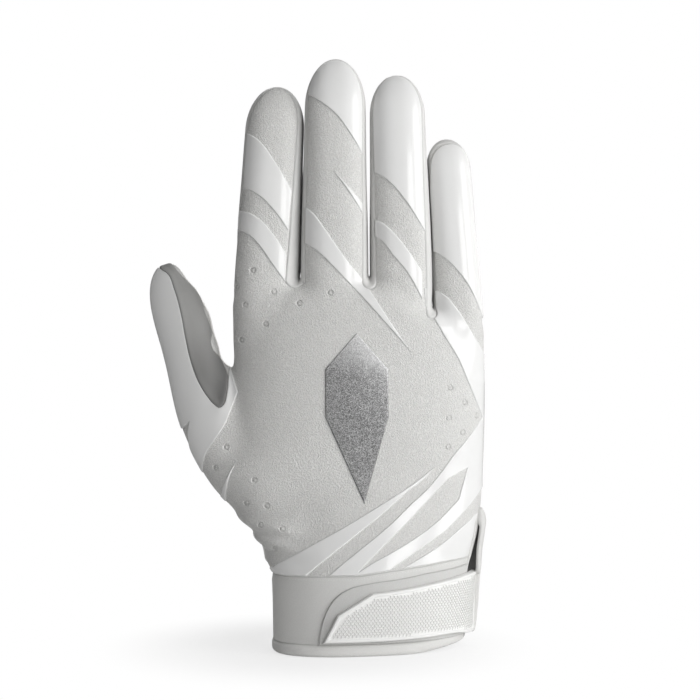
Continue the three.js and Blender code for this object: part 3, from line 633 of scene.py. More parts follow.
def fourchettes(side):    # the field of the panels between the seams: above nought on the panels
    lines = [seamLine(f, *shares, seams[side + "Tip"]) for f, shares in zip(fingers, seams[side])]
    hollows = []
    for k in range(3):
        a, b = fingers[k], fingers[k + 1]
        low = a["x"] + seams[side][k][1][0] * a["width"] / 2
        high = b["x"] - seams[side][k + 1][0][0] * b["width"] / 2
        hollows.append(((low + high) / 2, (high - low) / 2, seams[side + "Feet"][k]))
    stepX = hollows[2][0] - hollows[2][1]

    def value(x, z):
        made = np.where(x < stepX, hand["web"], fingers[3]["web"]) + seams["over"] - z
        for middle, half, foot in hollows:
            around = np.hypot(x - middle, z - foot - half)
            made = np.minimum(made, np.where(z < foot + half, around, np.abs(x - middle)) - half)
        for line in lines:
            made = np.maximum(made, lineField(line, x, z, farOff)[0])
        return np.where(x < cuts["thumbEdge"], farOff, made.clip(-farOff, farOff))

    def field(p, step=0.05):
        x, z = p[:, 0], p[:, 2]
        here = value(x, z)
        grow = np.stack([value(x + step, z) - here, np.zeros(len(p)), value(x, z + step) - here], -1) / step
        return here, unit(grow, 1)
    return field, hollows


# outlines drawn on the back, x and z; strokes are smooth, meet in corners and start at the last one's end
outlines = {name: chained(strokes) for name, strokes in {
    "indexUpper": [[(-33.5, 203.2), (-27.7, 200.9), (-25.5, 199.5), (-21.7, 195.7), (-18.4, 190.9),
        (-15.0, 185.5), (-10.9, 178.3)], [(-12.3, 162.4)], [(-18.2, 170.7), (-23.4, 175.9), (-27.1, 178.2),
        (-30.2, 179.2), (-35.0, 180.4)]],
    "indexLower": [[(-35.7, 171.5), (-30.8, 170.6), (-28.3, 169.9), (-22.6, 166.3), (-17.8, 160.7),
        (-13.1, 153.6)], [(-13.4, 142.3)], [(-18.6, 149.6), (-23.3, 156.4), (-26.6, 160.0), (-31.6, 162.9),
        (-36.5, 165.1)]],
    "middleTip": [[(-8.0, 218.7), (-3.6, 215.6), (1.2, 212.3), (6.8, 207.3), (11.6, 200.6), (16.6, 192.6),
        (20.4, 185.9)], [(23.6, 214.3), (20.6, 239.4)], [(-8.1, 239.5)], [(-8.0, 218.7)]],
    "middleSliver": [[(4.3, 187.1), (8.4, 182.4), (12.7, 177.8), (16.6, 173.2), (18.9, 170.7)], [(18.9, 166.0)],
        [(16.6, 169.2), (13.2, 174.6), (9.2, 180.4), (4.3, 187.1)]],
    "middleLower": [[(-9.3, 173.2), (-5.1, 171.4), (-2.7, 169.4), (1.3, 164.1), (5.3, 158.2), (11.6, 149.5),
        (16.5, 143.7), (20.7, 137.2), (28.1, 125.8), (33.0, 118.5), (37.2, 112.9)], [(31.2, 119.9),
        (25.7, 126.1), (18.7, 134.0), (11.6, 141.6), (4.5, 149.1), (-1.9, 155.1), (-5.8, 157.4),
        (-10.1, 159.0)]],
    "ringTip": [[(16.5, 186.5), (21.2, 185.4), (25.1, 183.1), (29.0, 179.4), (33.7, 173.4), (40.2, 163.2),
        (44.8, 156.5)], [(47.4, 195.2), (45.3, 235.7)], [(16.6, 235.3)], [(16.5, 186.5)]],
    "ringStripe": [[(16.5, 167.2), (21.1, 167.1), (23.5, 166.1), (28.2, 162.2), (33.7, 155.5), (39.7, 146.8)],
        [(39.9, 135.4)], [(33.7, 146.4), (28.2, 153.1), (24.2, 158.4), (21.1, 160.4), (16.5, 161.5)]],
    "littleTip": [[(40.6, 155.1), (44.4, 154.7), (48.3, 152.3), (53.0, 147.8), (57.8, 141.4), (63.2, 130.3),
        (66.5, 123.5)], [(69.0, 167.7), (65.2, 207.7)], [(40.9, 206.4)], [(40.6, 155.1)]],
    "side": [[(40.6, 140.1), (44.6, 139.7), (49.0, 137.4), (52.9, 133.0), (56.9, 127.1), (60.2, 121.5),
        (64.8, 114.3), (69.8, 104.1)], [(69.9, 69.1)], [(64.2, 62.0), (58.5, 55.5), (53.3, 50.4), (48.1, 45.8),
        (41.6, 41.6), (34.1, 36.8), (27.2, 32.4), (24.7, 30.6)], [(19.4, 25.2), (-0.3, 25.4)], [(3.3, 30.1),
        (7.4, 33.7), (15.6, 40.1), (22.9, 45.7), (29.8, 51.7), (35.2, 56.9), (41.7, 62.6), (46.7, 68.4),
        (51.8, 75.1), (59.0, 83.3), (63.8, 89.6)], [(57.4, 104.3), (54.0, 112.1), (48.3, 121.4), (44.1, 128.6),
        (40.6, 133.9)]],
    "lozenge": [[(57.5, 70.0), (49.5, 65.9)], [(44.2, 60.6), (38.7, 54.9), (31.7, 47.9), (23.8, 40.4),
        (15.1, 31.8)], [(19.9, 34.8), (28.7, 39.4), (36.6, 43.9), (44.6, 49.4), (53.8, 58.0)], [(57.5, 70.0)]],
    "corner": [[(69.9, 61.1), (64.1, 54.2), (58.5, 50.0), (52.7, 45.5), (47.1, 41.4), (41.6, 38.1),
        (35.6, 34.8), (31.6, 32.7), (27.8, 30.5)], [(23.2, 21.3)], [(70.1, 16.2)], [(69.9, 61.1)]],
    "wristStripe": [[(45.7, 71.8), (40.7, 66.6), (33.7, 61.3), (24.4, 53.3), (14.6, 45.8), (4.9, 38.3),
        (-5.0, 30.3), (-8.7, 27.0)], [(-27.0, 24.4)], [(-22.4, 29.1), (-18.0, 32.8), (-7.2, 39.2), (2.5, 44.6),
        (13.2, 50.5), (20.0, 54.5), (26.9, 58.7), (34.8, 63.7), (45.7, 71.8)]],
    "leftSliver": [[(-31.8, 73.4), (-34.5, 69.1), (-37.1, 64.1), (-38.4, 60.2), (-40.8, 55.9)], [(-36.9, 53.2)],
        [(-36.6, 58.4), (-36.0, 62.5), (-34.5, 67.9), (-31.8, 73.4)]],
    "thumbFilm": [[(-67.3, 151.2), (-63.3, 147.9), (-60.9, 146.4), (-57.6, 139.6), (-55.0, 131.3),
        (-52.8, 120.5), (-50.6, 111.5), (-48.0, 104.5), (-43.8, 97.5), (-41.3, 94.7), (-39.1, 93.4),
        (-37.4, 94.7), (-36.4, 98.3), (-35.9, 105.7), (-35.9, 111.3)], [(-31.9, 99.6)], [(-33.9, 94.3),
        (-37.2, 86.5), (-41.3, 80.3), (-44.3, 75.7), (-45.4, 72.8), (-45.9, 68.9), (-46.1, 63.2)],
        [(-67.2, 68.6), (-80.4, 104.0), (-76.7, 156.2), (-67.3, 151.2)]],
    "thumbFacet": [[(-57.2, 84.1), (-55.0, 84.7), (-50.9, 88.2)], [(-51.6, 83.3), (-51.4, 78.1), (-50.8, 75.3)],
        [(-57.1, 80.4)], [(-57.2, 84.1)]],
    "gusset": [[(-68.3, 152.9), (-63.3, 147.9), (-60.9, 146.4), (-57.6, 139.6), (-55.0, 131.3), (-52.8, 120.5),
        (-50.6, 111.5), (-48.0, 104.5), (-43.8, 97.5), (-41.3, 94.7), (-39.1, 93.4), (-37.4, 94.7),
        (-36.4, 98.3), (-35.9, 105.7)], [(-37.5, 109.4), (-39.5, 113.1), (-42.1, 116.4), (-42.9, 118.9),
        (-42.8, 123.0), (-44.0, 127.2), (-45.7, 131.4), (-46.8, 135.5), (-48.7, 139.3), (-53.3, 143.9),
        (-57.7, 148.6), (-60.9, 152.7)], [(-68.3, 152.9)]],
    "strap": [[(1.9, 5.7), (7.1, 16.2)], [(19.7, 23.9)], [(30.7, 25.1), (42.3, 26.9), (52.2, 28.6),
        (58.6, 29.8), (65.2, 31.1)], [(66.1, 8.3)], [(60.8, 5.2), (50.2, 6.9), (38.4, 6.5), (26.9, 6.1),
        (15.6, 5.9), (1.9, 5.7)]],
}.items()}
cuffSeam = np.array([(-22.4, 29.3), (-18.3, 29.9), (-11.0, 30.0), (-5.2, 30.1), (4.2, 30.2), (15.6, 30.3),
    (27.0, 31.8), (38.6, 33.0), (50.5, 34.4), (59.1, 35.0), (64.4, 36.0), (68.4, 37.9)])
padEdge = np.array([(0.1, 3.1), (0.2, 5.4), (0.5, 8.4), (1.6, 13.6), (3.9, 19.2), (7.3, 23.3), (11.8, 25.9),
    (19.4, 27.6), (30.8, 28.9), (42.4, 30.7), (52.4, 31.8), (58.9, 32.8), (66.0, 33.9)])
eyeletPlaces = np.array([(-26.0, 147.1), (-17.8, 138.7), (-7.9, 134.2), (4.1, 138.2), (-21.0, 126.1),
    (-29.1, 133.7), (-30.7, 120.0), (-32.6, 140.6), (-36.3, 78.3), (-40.6, 70.2), (-25.0, 66.0), (-28.3, 56.8),
    (-20.2, 56.2), (-22.7, 48.8), (-14.1, 47.8), (-17.2, 39.9), (50.7, 101.4), (56.5, 95.5), (61.6, 90.0),
    (50.1, 89.6), (55.7, 83.8), (49.8, 78.4)])
badgeShares = [(0.075, 0.247), (0.115, 0.39), (0.115, 0.47), (0.062, 0.53), (0.01, 0.47), (0.01, 0.39)]
gloveHeight = fingers[1]["web"] + fingers[1]["reach"]
badgeLine = [[(a * gloveHeight, b * gloveHeight), (c * gloveHeight, d * gloveHeight)]
             for (a, b), (c, d) in zip(badgeShares, badgeShares[1:] + badgeShares[:1])]

# slit at the little finger's side, in y and z
vent = {"middle": 1.6, "low": 1.7, "high": 0.8, "top": 50.0, "widest": 8.0, "base": -6.0, "from": 20.0}
cuff = {"hem": 4.8}


def ventSides(z):    # the slit's front and rear edges at heights
    half = np.interp(z, (vent["widest"], vent["top"] - 2 * vent["high"]), (vent["low"], vent["high"]))
    return vent["middle"] - half, vent["middle"] + half


def ventLine(grow=0.0):
    z = np.concatenate([[vent["base"]], np.linspace(vent["widest"], vent["top"] - 2 * vent["high"], 26)])
    front, rear = ventSides(z)
    high, top, y = vent["high"] + grow, vent["top"] + grow, vent["middle"]
    over = np.array([(y + high / 3, top), (y - high / 3, top)])
    return np.concatenate([np.stack([rear + grow, z], -1), over, np.stack([front - grow, z], -1)[::-1]])


def ventField(p, grow=0.0):
    value = lineField(ventLine(grow), p[:, 1], p[:, 2])[0]
    return np.where(p[:, 0] > vent["from"], value, -lineReach)


netForm = {"x": (-72.0, 70.0), "y": (-31.0, 31.0), "z": (-2.5, 234.0), "step": 1.0, "fine": 0.45, "around": 3.6}


def gridLine(start, end):    # finer where two fingers meet
    made = [start]
    middles = [(a["x"] + a["width"] / 2 + b["x"] - b["width"] / 2) / 2 for a, b in zip(fingers, fingers[1:])]
    while made[-1] < end:
        close = min(abs(made[-1] - m) for m in middles) < netForm["around"]
        made.append(made[-1] + netForm["fine" if close else "step"])
    return np.array(made)


print("glove: form")
frontField, frontHollows = fourchettes("front")
rearField, _ = fourchettes("rear")
netPoints, netQuads = netOf(gridLine(*netForm["x"]), np.arange(*netForm["y"]), np.arange(*netForm["z"]))
netPoints = settleOn(netPoints)
rise, parting, thumbRise = risesAt(netPoints)
panel, panelGrow = frontField(netPoints)
rearPanel, rearGrow = rearField(netPoints)
gusset, gussetGrow = drawnField(outlines["gusset"], netPoints)
whole = Skin({
    "place": netPoints, "normal": upright(netPoints), "rise": rise, "part": parting, "thumbRise": thumbRise,
    "front": partY(netPoints[:, 0], netPoints[:, 2]) - netPoints[:, 1],
    "panel": panel, "panelGrow": panelGrow, "rear": rearPanel, "rearGrow": rearGrow, "gusset": gusset,
    "gussetGrow": gussetGrow, "cuff": netPoints[:, 2] - np.interp(netPoints[:, 0], *cuffSeam.T),
    "hem": netPoints[:, 2] - cuff["hem"], "base": netPoints[:, 2].copy(), "vent": ventField(netPoints),
}, halved(netPoints, netQuads))
whole = whole.split("base")
whole = whole.part(whole.at("base") > 0)
for name in ("rise", "part", "thumbRise", "front", "cuff", "hem"):
    whole = whole.split(name)


# finishes
def fill(tree, node, sockets):    # a node's values, and its links from other nodes
    for key, value in sockets.items():
        value = getattr(value, "socket", value)
        if isinstance(value, bpy.types.NodeSocket):
            tree.links.new(value, node.inputs[key])
        else:
            node.inputs[key].default_value = value


def addNode(tree, kind, settings=None, sockets=None):
    made = tree.nodes.new(kind)
    for key, value in (settings or {}).items():
        setattr(made, key, value)
    fill(tree, made, sockets or {})
    return made


def addMaterial(name, sockets):
    made = bpy.data.materials.new(name)
    made.use_nodes = True
    fill(made.node_tree, made.node_tree.nodes["Principled BSDF"], sockets)
    return made


class Flow:    # a node's output that adds and multiplies like a number
    def __init__(self, finish, socket):
        self.finish, self.socket = finish, socket

    def __add__(self, other):
        return self.finish.flow("ShaderNodeMath", {"operation": "ADD"}, {0: self, 1: other})

    def __mul__(self, other):
        return self.finish.flow("ShaderNodeMath", {"operation": "MULTIPLY"}, {0: self, 1: other})

    __radd__, __rmul__ = __add__, __mul__

    def between(self, low, high, start=0.0, end=1.0):    # a smooth step
        return self.finish.flow("ShaderNodeMapRange", {"interpolation_type": "SMOOTHSTEP"}, {
            "Value": self, "From Min": low, "From Max": high, "To Min": start, "To Max": end})


class Finish:
    def __init__(self, name, colour, roughness, specular, sheen=(), coat=(), **constants):
        for part, shares in (("Sheen", sheen), ("Coat", coat)):
            constants.update(zip((part + " Weight", part + " Roughness"), shares))
        self.material = addMaterial(name, {"Base Color": (*colour, 1), "Roughness": roughness,
                                           "Specular IOR Level": specular, **constants})
        self.tree = self.material.node_tree
        self.rest = self.flow("ShaderNodeAttribute", {"attribute_name": "rest"}, {}, "Vector")
        self.normal = None

    def flow(self, kind, settings, sockets, output=0):
        return Flow(self, addNode(self.tree, kind, settings, sockets).outputs[output])

    def attribute(self, name):
        return self.flow("ShaderNodeAttribute", {"attribute_name": name}, {}, "Fac")

    def noise(self, scale, detail=2.0, roughness=0.5):
        return self.flow("ShaderNodeTexNoise", {}, {
            "Vector": self.rest, "Scale": scale, "Detail": detail, "Roughness": roughness})

    def cells(self, scale, feature="SMOOTH_F1", output=0):
        return self.flow("ShaderNodeTexVoronoi", {"feature": feature}, {"Vector": self.rest, "Scale": scale}, output)

    def axes(self, at=None):
        return [Flow(self, socket) for socket in addNode(
            self.tree, "ShaderNodeSeparateXYZ", {}, {0: at or self.rest}).outputs]

    def tint(self, share, one, two):    # a colour between two
        return self.flow("ShaderNodeMix", {"data_type": "RGBA"}, {
            "Factor": share, 6: one if isinstance(one, Flow) else (*one, 1),
            7: two if isinstance(two, Flow) else (*two, 1)}, 2)

    def raised(self, *reliefs):    # one relief on top of the others: height, depth in mm, strength
        for height, depth, strength in reliefs:
            sockets = {"Height": height, "Distance": depth * mm, "Strength": strength}
            if self.normal:
                sockets["Normal"] = self.normal
            self.normal = self.flow("ShaderNodeBump", {}, sockets)

    def done(self, colour, roughness=None):
        sockets = {"Base Color": colour, "Normal": self.normal}
        if roughness:
            sockets["Roughness"] = roughness
        fill(self.tree, self.tree.nodes["Principled BSDF"], sockets)
        return self.material


def scaled(colour, share):
    return tuple(c * share for c in colour)


def makeGrainFabric():
    grey = (0.775, 0.772, 0.755)
    made = Finish("grainFabric", grey, 0.78, 0.35, sheen=(0.12, 0.5))
    grain = made.noise(2.6) * 0.75 + made.cells(1.9) * 0.45
    seam = made.attribute("edge").between(0.0, 0.3)
    made.raised((grain.between(0.4, 0.8), 0.2, 1.0), (made.noise(5.0), 0.05, 0.7), (seam, 0.15, 0.6))
    shade = made.tint(grain.between(0.35, 0.75), scaled(grey, 0.88), scaled(grey, 1.06))
    worn = made.tint(made.noise(0.06).between(0.35, 0.75) * 0.4, shade, scaled(grey, 0.965))
    return made.done(made.tint(seam, scaled(grey, 0.86), worn), grain.between(0.2, 0.9, 0.72, 0.84))


def makeGlossFilm():
    white = (0.83, 0.83, 0.822)
    made = Finish("glossFilm", white, 0.18, 0.28, coat=(0.2, 0.05))
    ripple = made.noise(0.12, 2.0, 0.4)
    # painted shade: the film's colour darkens a little within 0.35 mm of its edge
    rim = made.attribute("edge").between(0.0, 0.35)
    made.raised((ripple, 0.25, 0.25), (made.noise(1.2), 0.02, 0.3))
    return made.done(made.tint(rim, scaled(white, 0.955), white), ripple.between(0.3, 0.7, 0.13, 0.2))


def makeKnitWall(name, grey, gapShadeShare, footShadeShare):
    made = Finish(name, grey, 0.7, 0.3, sheen=(0.2, 0.4))
    seam = made.attribute("edge").between(0.0, 0.5)
    made.raised((made.noise(0.3), 0.25, 0.3), (seam, 0.15, 0.6))
    # painted shade: the walls darken where the next finger is close ("deep"), down to gapShadeShare of the grey
    shade = made.tint(made.attribute("deep"), scaled(grey, 0.9983), scaled(grey, gapShadeShare))
    # painted shade: below 132 mm the colour darkens towards the foot, to footShadeShare of the grey at 102 mm
    if footShadeShare < 1:
        shade = made.tint(made.axes()[2].between(102.0, 132.0), scaled(grey, footShadeShare), shade)
    return made.done(made.tint(seam, scaled(grey, 0.88), shade))


def makeTackyPalm():
    white = (0.80, 0.79, 0.76)
    made = Finish("tackyPalm", white, 0.42, 0.5, coat=(0.15, 0.3))
    soft = made.noise(0.5, 3.0)
    seam = made.attribute("edge").between(0.0, 0.6)
    made.raised((made.cells(1.6, "F1"), 0.05, 0.5), (soft, 0.2, 0.4), (seam, 0.25, 0.8))
    rubbed = made.noise(0.05, 3.0).between(0.4, 0.7)
    shade = made.tint(rubbed, white, scaled(white, 0.95))
    return made.done(made.tint(seam, scaled(white, 0.78), shade),
                     soft.between(0.3, 0.7, 0.36, 0.5) + rubbed * 0.06)


def makeCuffStretch():
    grey = (0.715, 0.712, 0.695)
    made = Finish("cuffStretch", grey, 0.74, 0.3, sheen=(0.15, 0.5))
    grain = made.noise(2.6, 3.0, 0.6)
    seam = made.attribute("edge").between(0.0, 0.35)
    made.raised((grain, 0.07, 0.8), (seam, 0.3, 0.9))
    shade = made.tint(grain.between(0.3, 0.75), scaled(grey, 0.955), scaled(grey, 1.02))
    # painted shade: where a piece sets "deep", the colour goes down to 0.28 of the grey
    return made.done(made.tint(made.attribute("deep"), made.tint(seam, scaled(grey, 0.82), shade),
                               scaled(grey, 0.28)))


def makeMouldedRubber(name, level):
    white = (level, level, level - 0.015)
    made = Finish(name, white, 0.38, 0.45, coat=(0.1, 0.3))
    grain = made.noise(2.2)
    made.raised((grain, 0.02, 0.4))
    return made.done(made.tint(made.noise(0.08), scaled(white, 0.98), white),
                     grain.between(0.2, 0.8, 0.34, 0.44))


def makeSilverGlitter():
    silver = (0.38, 0.38, 0.38)
    made = Finish("silverGlitter", silver, 0.4, 0.5, Metallic=0.8)
    red, green, _ = made.axes(made.cells(3.6, "F1", "Color"))
    speck = made.noise(2.4, 3.0, 0.7)
    made.raised((red, 0.09, 0.8), (speck, 0.06, 0.6))
    x, y, z = made.axes()
    # painted sheen: the colour brightens towards the badge's top and right
    paintedSheenMask = (z + x * 0.35 + made.noise(0.12) * 12).between(114.0, 132.0)
    shade = made.tint(green.between(0.1, 0.9), scaled(silver, 0.35), scaled(silver, 1.2))
    paintedSheenColour = made.tint(paintedSheenMask, shade, scaled(silver, 1.6))
    return made.done(made.tint(speck.between(0.45, 0.6) * 0.6, paintedSheenColour, scaled(silver, 0.5)),
                     red.between(0.0, 1.0, 0.28, 0.5))


def makeLoopPile():
    grey = (0.67, 0.668, 0.653)
    made = Finish("loopPile", grey, 0.88, 0.2, sheen=(0.3, 0.6))
    loops = made.cells(3.0)
    seam = made.attribute("edge").between(0.0, 0.3)
    made.raised((loops, 0.08, 0.8), (made.noise(6.0, 3.0, 0.7), 0.05, 0.7))
    shade = made.tint(loops.between(0.0, 0.5), scaled(grey, 1.02), scaled(grey, 0.93))
    return made.done(made.tint(seam, scaled(grey, 0.8), shade))


def makeSeamThread():
    white = (0.80, 0.80, 0.785)
    return Finish("seamThread", scaled(white, 0.9688), 0.55, 0.4, sheen=(0.2,)).material


def makeLiningJersey():
    grey = (0.55, 0.55, 0.54)
    made = Finish("liningJersey", grey, 0.85, 0.2, sheen=(0.2, 0.5))
    brushed = made.noise(3.0, 3.0)
    made.raised((brushed, 0.08, 0.6))
    return made.done(made.tint(brushed, scaled(grey, 0.85), scaled(grey, 1.1)))


finishes = {
    "fabric": makeGrainFabric(), "gloss": makeGlossFilm(),
    # the walls between the fingers carry painted shade where the next finger is near
    "wall": makeKnitWall("knitWall", (0.705, 0.703, 0.69), 0.52, 1.0),
    # the thumb's inset knit: a dark grey, partly its own tone and partly painted shade, with more painted shade
    # towards its foot
    "gusset": makeKnitWall("thumbKnit", (0.33, 0.328, 0.32), 1.0, 0.6),
    # the scales' rubber is greyer than the strap's: painted shade of the grooves between the scales
    "scale": makeMouldedRubber("scaleShadeRubber", 0.76), "grip": makeTackyPalm(), "cuff": makeCuffStretch(),
    "moulded": makeMouldedRubber("mouldedRubber", 0.9), "glitter": makeSilverGlitter(),
    "hookloop": makeLoopPile(), "thread": makeSeamThread(), "lining": makeLiningJersey(),
}


# putting pieces in their places
def inFrame(p):
    return tuple((np.asarray(p) + frameShift) * mm)


def attach(piece, body):    # pieces that cross a hinge bend over it
    f = next((f for f in fingers if body.startswith(f["name"])), None)
    if body == "thumb":
        before, foot, up, low, high = "hand", thumbHinge, thumbUp, -cuts["thumbBelow"], cuts["thumbAbove"]
    elif f is None:
        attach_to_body(piece, body)
        return
    elif body.endswith("_root"):
        before, foot, up, low, high = "hand", f["foot"], f["up"], cuts["base"], cuts["baseTop"]
    else:
        before, foot, up = f["name"] + "_root", f["foot"], f["up"]
        low, high = f["bend"] - cuts["bendRoom"], f["bend"] + cuts["bendRoom"]
    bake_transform(piece, before, body, start=inFrame(foot + up * low), end=inFrame(foot + up * high))


def settle(piece, body, finish, node=None, cut=None):
    mesh = piece.data
    if "rest" not in mesh.attributes:
        co = np.empty(len(mesh.vertices) * 3, np.float32)
        mesh.vertices.foreach_get("co", co)
        give(mesh, "rest", co.reshape(-1, 3) * 1000)
    if "edge" not in mesh.attributes:
        give(mesh, "edge", np.full(len(mesh.vertices), farOff))
    mesh.materials.clear()
    mesh.materials.append(finishes[finish])
    attach(piece, body)
    if node:
        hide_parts(node)


flatForm = {"waste": 1.2, "least": 10.0, "share": 0.32}


def areaOf(skin):
    a, b, c = (skin.values["place"][skin.tris[:, k]] for k in range(3))
    return np.linalg.norm(np.cross(b - a, c - a), axis=1).sum() / 2


def flatCut(skin):    # the rectangle that a panel was cut from, and its own area, in metres
    area = areaOf(skin)
    across = max(area / np.ptp(skin.values["place"][:, 2]) * flatForm["waste"], flatForm["least"])
    up = max(area / across * flatForm["waste"], flatForm["least"])
    if area < flatForm["share"] * across * up:
        return None
    return round(across * mm, 4), round(up * mm, 4), round(area * mm * mm, 7)


def tilted(skin, *reliefs):    # normals that lean with reliefs, each one's way to grow and its slope
    n = skin.values["normal"]
    leaned = n.copy()
    for grow, slope in reliefs:
        leaned -= (grow - (grow * n).sum(1, keepdims=True) * n) * slope[:, None]
    return unit(leaned)


def zones(skin):    # the parts of a skin by the body that they bend with
    rise, part, thumbRise = skin.at("rise"), skin.at("part"), skin.at("thumbRise")
    which = fingerOf(skin.values["place"][skin.tris].mean(1))
    found = {"thumb": thumbRise > 0}
    onFinger = (rise > 0) & ~found["thumb"]
    found["hand"] = ~onFinger & ~found["thumb"]
    for k, f in enumerate(fingers):
        found[f["name"] + "_root"] = onFinger & (which == k) & (part < 0)
        found[f["name"] + "_end"] = onFinger & (which == k) & (part >= 0)
    return {body: chosen for body, chosen in found.items() if chosen.sum() > 3}


print("glove: panels")
eyelet = {"flat": 0.98, "slope": 0.4, "depth": 0.4, "reach": (2.4, 1.9), "floor": 0.97, "high": 0.2, "sunk": 0.06}
panelForm = {
    "sink": 0.16, "sinkWidth": 0.5, "lip": 0.42, "lipWidth": 0.75, "lipSunk": 0.1, "gap": 3.0, "wristLean": 0.17,
    "thick": 0.9, "steps": (0.45, 1.0, -0.35, -0.8, -1.6), "stepsFrom": -18, "gussetSteps": (0.4, 0.9),
}
liningForm = {"top": -1.7, "bottom": -2.3, "to": 52}
cloth = whole.split("vent")
cloth = cloth.part((cloth.at("vent") < 0) & (cloth.at("hem") > 0))
cloth = cloth.split("panel", only=cloth.at("front") > 0)
cloth = cloth.split("rear", only=cloth.at("front") < 0)
cloth = cloth.split("gusset", only=(cloth.at("front") > 0) & (cloth.at("panel") > 0))
for step in panelForm["steps"]:
    for name, side in (("panel", 1), ("rear", -1)):
        near = (cloth.at("front") * side > 0) & (cloth.at("rise") > panelForm["stepsFrom"])
        cloth = cloth.cutAt(cloth.values[name] - step, near)
for step in panelForm["gussetSteps"]:
    near = (cloth.at("front") > 0) & (cloth.at("gusset") > -3)
    cloth = cloth.cutAt(np.abs(cloth.values["gusset"]) - step, near)


def eyeletRelief(r):    # a pressed round dimple
    t = np.clip((r - eyelet["flat"]) / eyelet["slope"], 0, 1)
    return eyelet["depth"] * (smooth(t) - 1), eyelet["depth"] * 6 * t * (1 - t) / eyelet["slope"]


def dotField(p):    # distance from the nearest eyelet, seen from the front
    off = p[:, None, [0, 2]] - eyeletPlaces[None]
    away = np.linalg.norm(off, axis=2)
    best = away.argmin(1)
    rows = np.arange(len(p))
    grow = off[rows, best] / away[rows, best].clip(1e-6)[:, None]
    return away[rows, best].clip(0, farOff), np.stack([grow[:, 0], np.zeros(len(p)), grow[:, 1]], -1)


def seamRelief(d, wall):    # panels dip at a seam, and the walls swell just inside it
    if wall:
        s = np.maximum(-d, 0) / panelForm["lipWidth"]
        slope = -panelForm["lip"] / panelForm["lipWidth"] * np.exp(1 - s) * (1 - s)
        return panelForm["lip"] * s * np.exp(1 - s) - panelForm["lipSunk"], slope
    s = np.maximum(d, 0) / panelForm["sinkWidth"]
    dip = panelForm["sink"] * np.exp(-s * s)
    return -dip, 2 * s * dip / panelForm["sinkWidth"]


def wristLean(skin):    # the wrist turns away a little more towards the thumb
    x, _, z = skin.values["place"].T
    share = smooth((x + 16) / 14) * smooth((34 - x) / 24) * smooth((78 - z) / 30)
    share = share * smooth(skin.values["front"] / 5)
    return np.tile((1.0, 0.0, 0.0), (len(x), 1)), panelForm["wristLean"] * share


def panelPiece(node, skin, body, finish, side, gusset=0):    # side: 1 back, -1 palm, 0 the walls between
    v = skin.values
    ahead = v["front"] > 0 if side == 0 else np.full(len(v["front"]), side > 0)
    d = np.where(ahead, v["panel"], v["rear"])
    top, slope = seamRelief(d, side == 0)
    reliefs = [(np.where(ahead[:, None], v["panelGrow"], v["rearGrow"]), slope), wristLean(skin)]
    seam = np.abs(d)
    if gusset:    # the thumb's inset lies a little deeper, with a soft lip at its edge
        dip, dipSlope = seamRelief(-v["gusset"], gusset > 0)
        reliefs.append((-v["gussetGrow"], dipSlope))
        top = top + dip
        seam = np.minimum(seam, np.abs(v["gusset"]))
    if side > 0 and finish == "fabric":
        dip, dipSlope = eyeletRelief(v["dot"])
        reliefs.append((v["dotGrow"], dipSlope))
        top = top + dip
    if side:
        seam = np.minimum(np.minimum(seam, np.abs(v["front"])), np.abs(v["cuff"]))
    else:    # how close the next finger is, for the painted shade deep in the gap
        near = np.sort([fingerField(f, *v["place"].T) for f in fingers], axis=0)[1]
        v["deep"] = smooth((panelForm["gap"] - near) / panelForm["gap"])
    v["edge"] = seam
    piece = shellOf(node + "_cloth", skin, top, -panelForm["thick"], tilted(skin, *reliefs))
    settle(piece, body, finish, node, flatCut(skin))


cloth.values["dot"], cloth.values["dotGrow"] = dotField(cloth.values["place"])
for reach in eyelet["reach"]:
    cloth = cloth.halve((cloth.values["dot"][cloth.tris].min(1) < reach) & (cloth.at("front") > 0))
    cloth.values["dot"], cloth.values["dotGrow"] = dotField(cloth.values["place"])

for body, chosen in zones(cloth).items():
    skin = cloth.part(chosen)
    isFront = skin.at("front") > 0
    onPanel = np.where(isFront, skin.at("panel"), skin.at("rear")) > 0
    inset, above = (skin.at("gusset") > 0) & isFront, skin.at("cuff") > 0
    middles = skin.values["place"][skin.tris].mean(1)
    if body == "hand":
        nearest = np.abs(middles[:, :1] - np.array([h[0] for h in frontHollows])).argmin(1)
        pieces = [("back_panel", isFront & onPanel & above & ~inset, "fabric", 1, -1),
                  ("palm_panel", ~isFront & onPanel & above, "grip", -1),
                  ("thumb_web", inset & above, "gusset", 1, 1),
                  ("cuff_back", isFront & ~above, "cuff", 1), ("cuff_palm", ~isFront & ~above, "cuff", -1)]
        pieces += [(f"web_{fingers[k]['name']}_{fingers[k + 1]['name']}", ~onPanel & (nearest == k), "wall", 0)
                   for k in range(3)]
    elif body == "thumb":
        pieces = [("thumb_back", isFront & ~inset, "fabric", 1, -1), ("thumb_gusset", inset, "gusset", 1, 1),
                  ("thumb_palm", ~isFront, "grip", -1)]
    else:
        pieces = [(body + "_back", isFront & onPanel, "fabric", 1), (body + "_palm", ~isFront & onPanel, "grip", -1)]
        if body.endswith("_end"):
            pieces += [(body + "_wrap", ~onPanel, "wall", 0)]
        else:
            middle = fingerAt(next(f for f in fingers if body.startswith(f["name"])), middles[:, 2])[0]
            left = middles[:, 0] < middle
            pieces += [(body + "_wall_left", ~onPanel & left, "wall", 0),
                       (body + "_wall_right", ~onPanel & ~left, "wall", 0)]
    for node, part, *kind in pieces:
        panelPiece(node, skin.part(part), body, *kind)

lining = whole.split("vent")
lining = lining.cutAt(lining.values["base"] - liningForm["to"])
lining = lining.part((lining.at("vent") < 0) & (lining.at("hem") > 0) & (lining.at("level") < 0))
settle(shellOf("cuff_lining_cloth", lining, liningForm["top"], liningForm["bottom"]),
       "hand", "lining", "cuff_lining", flatCut(lining))


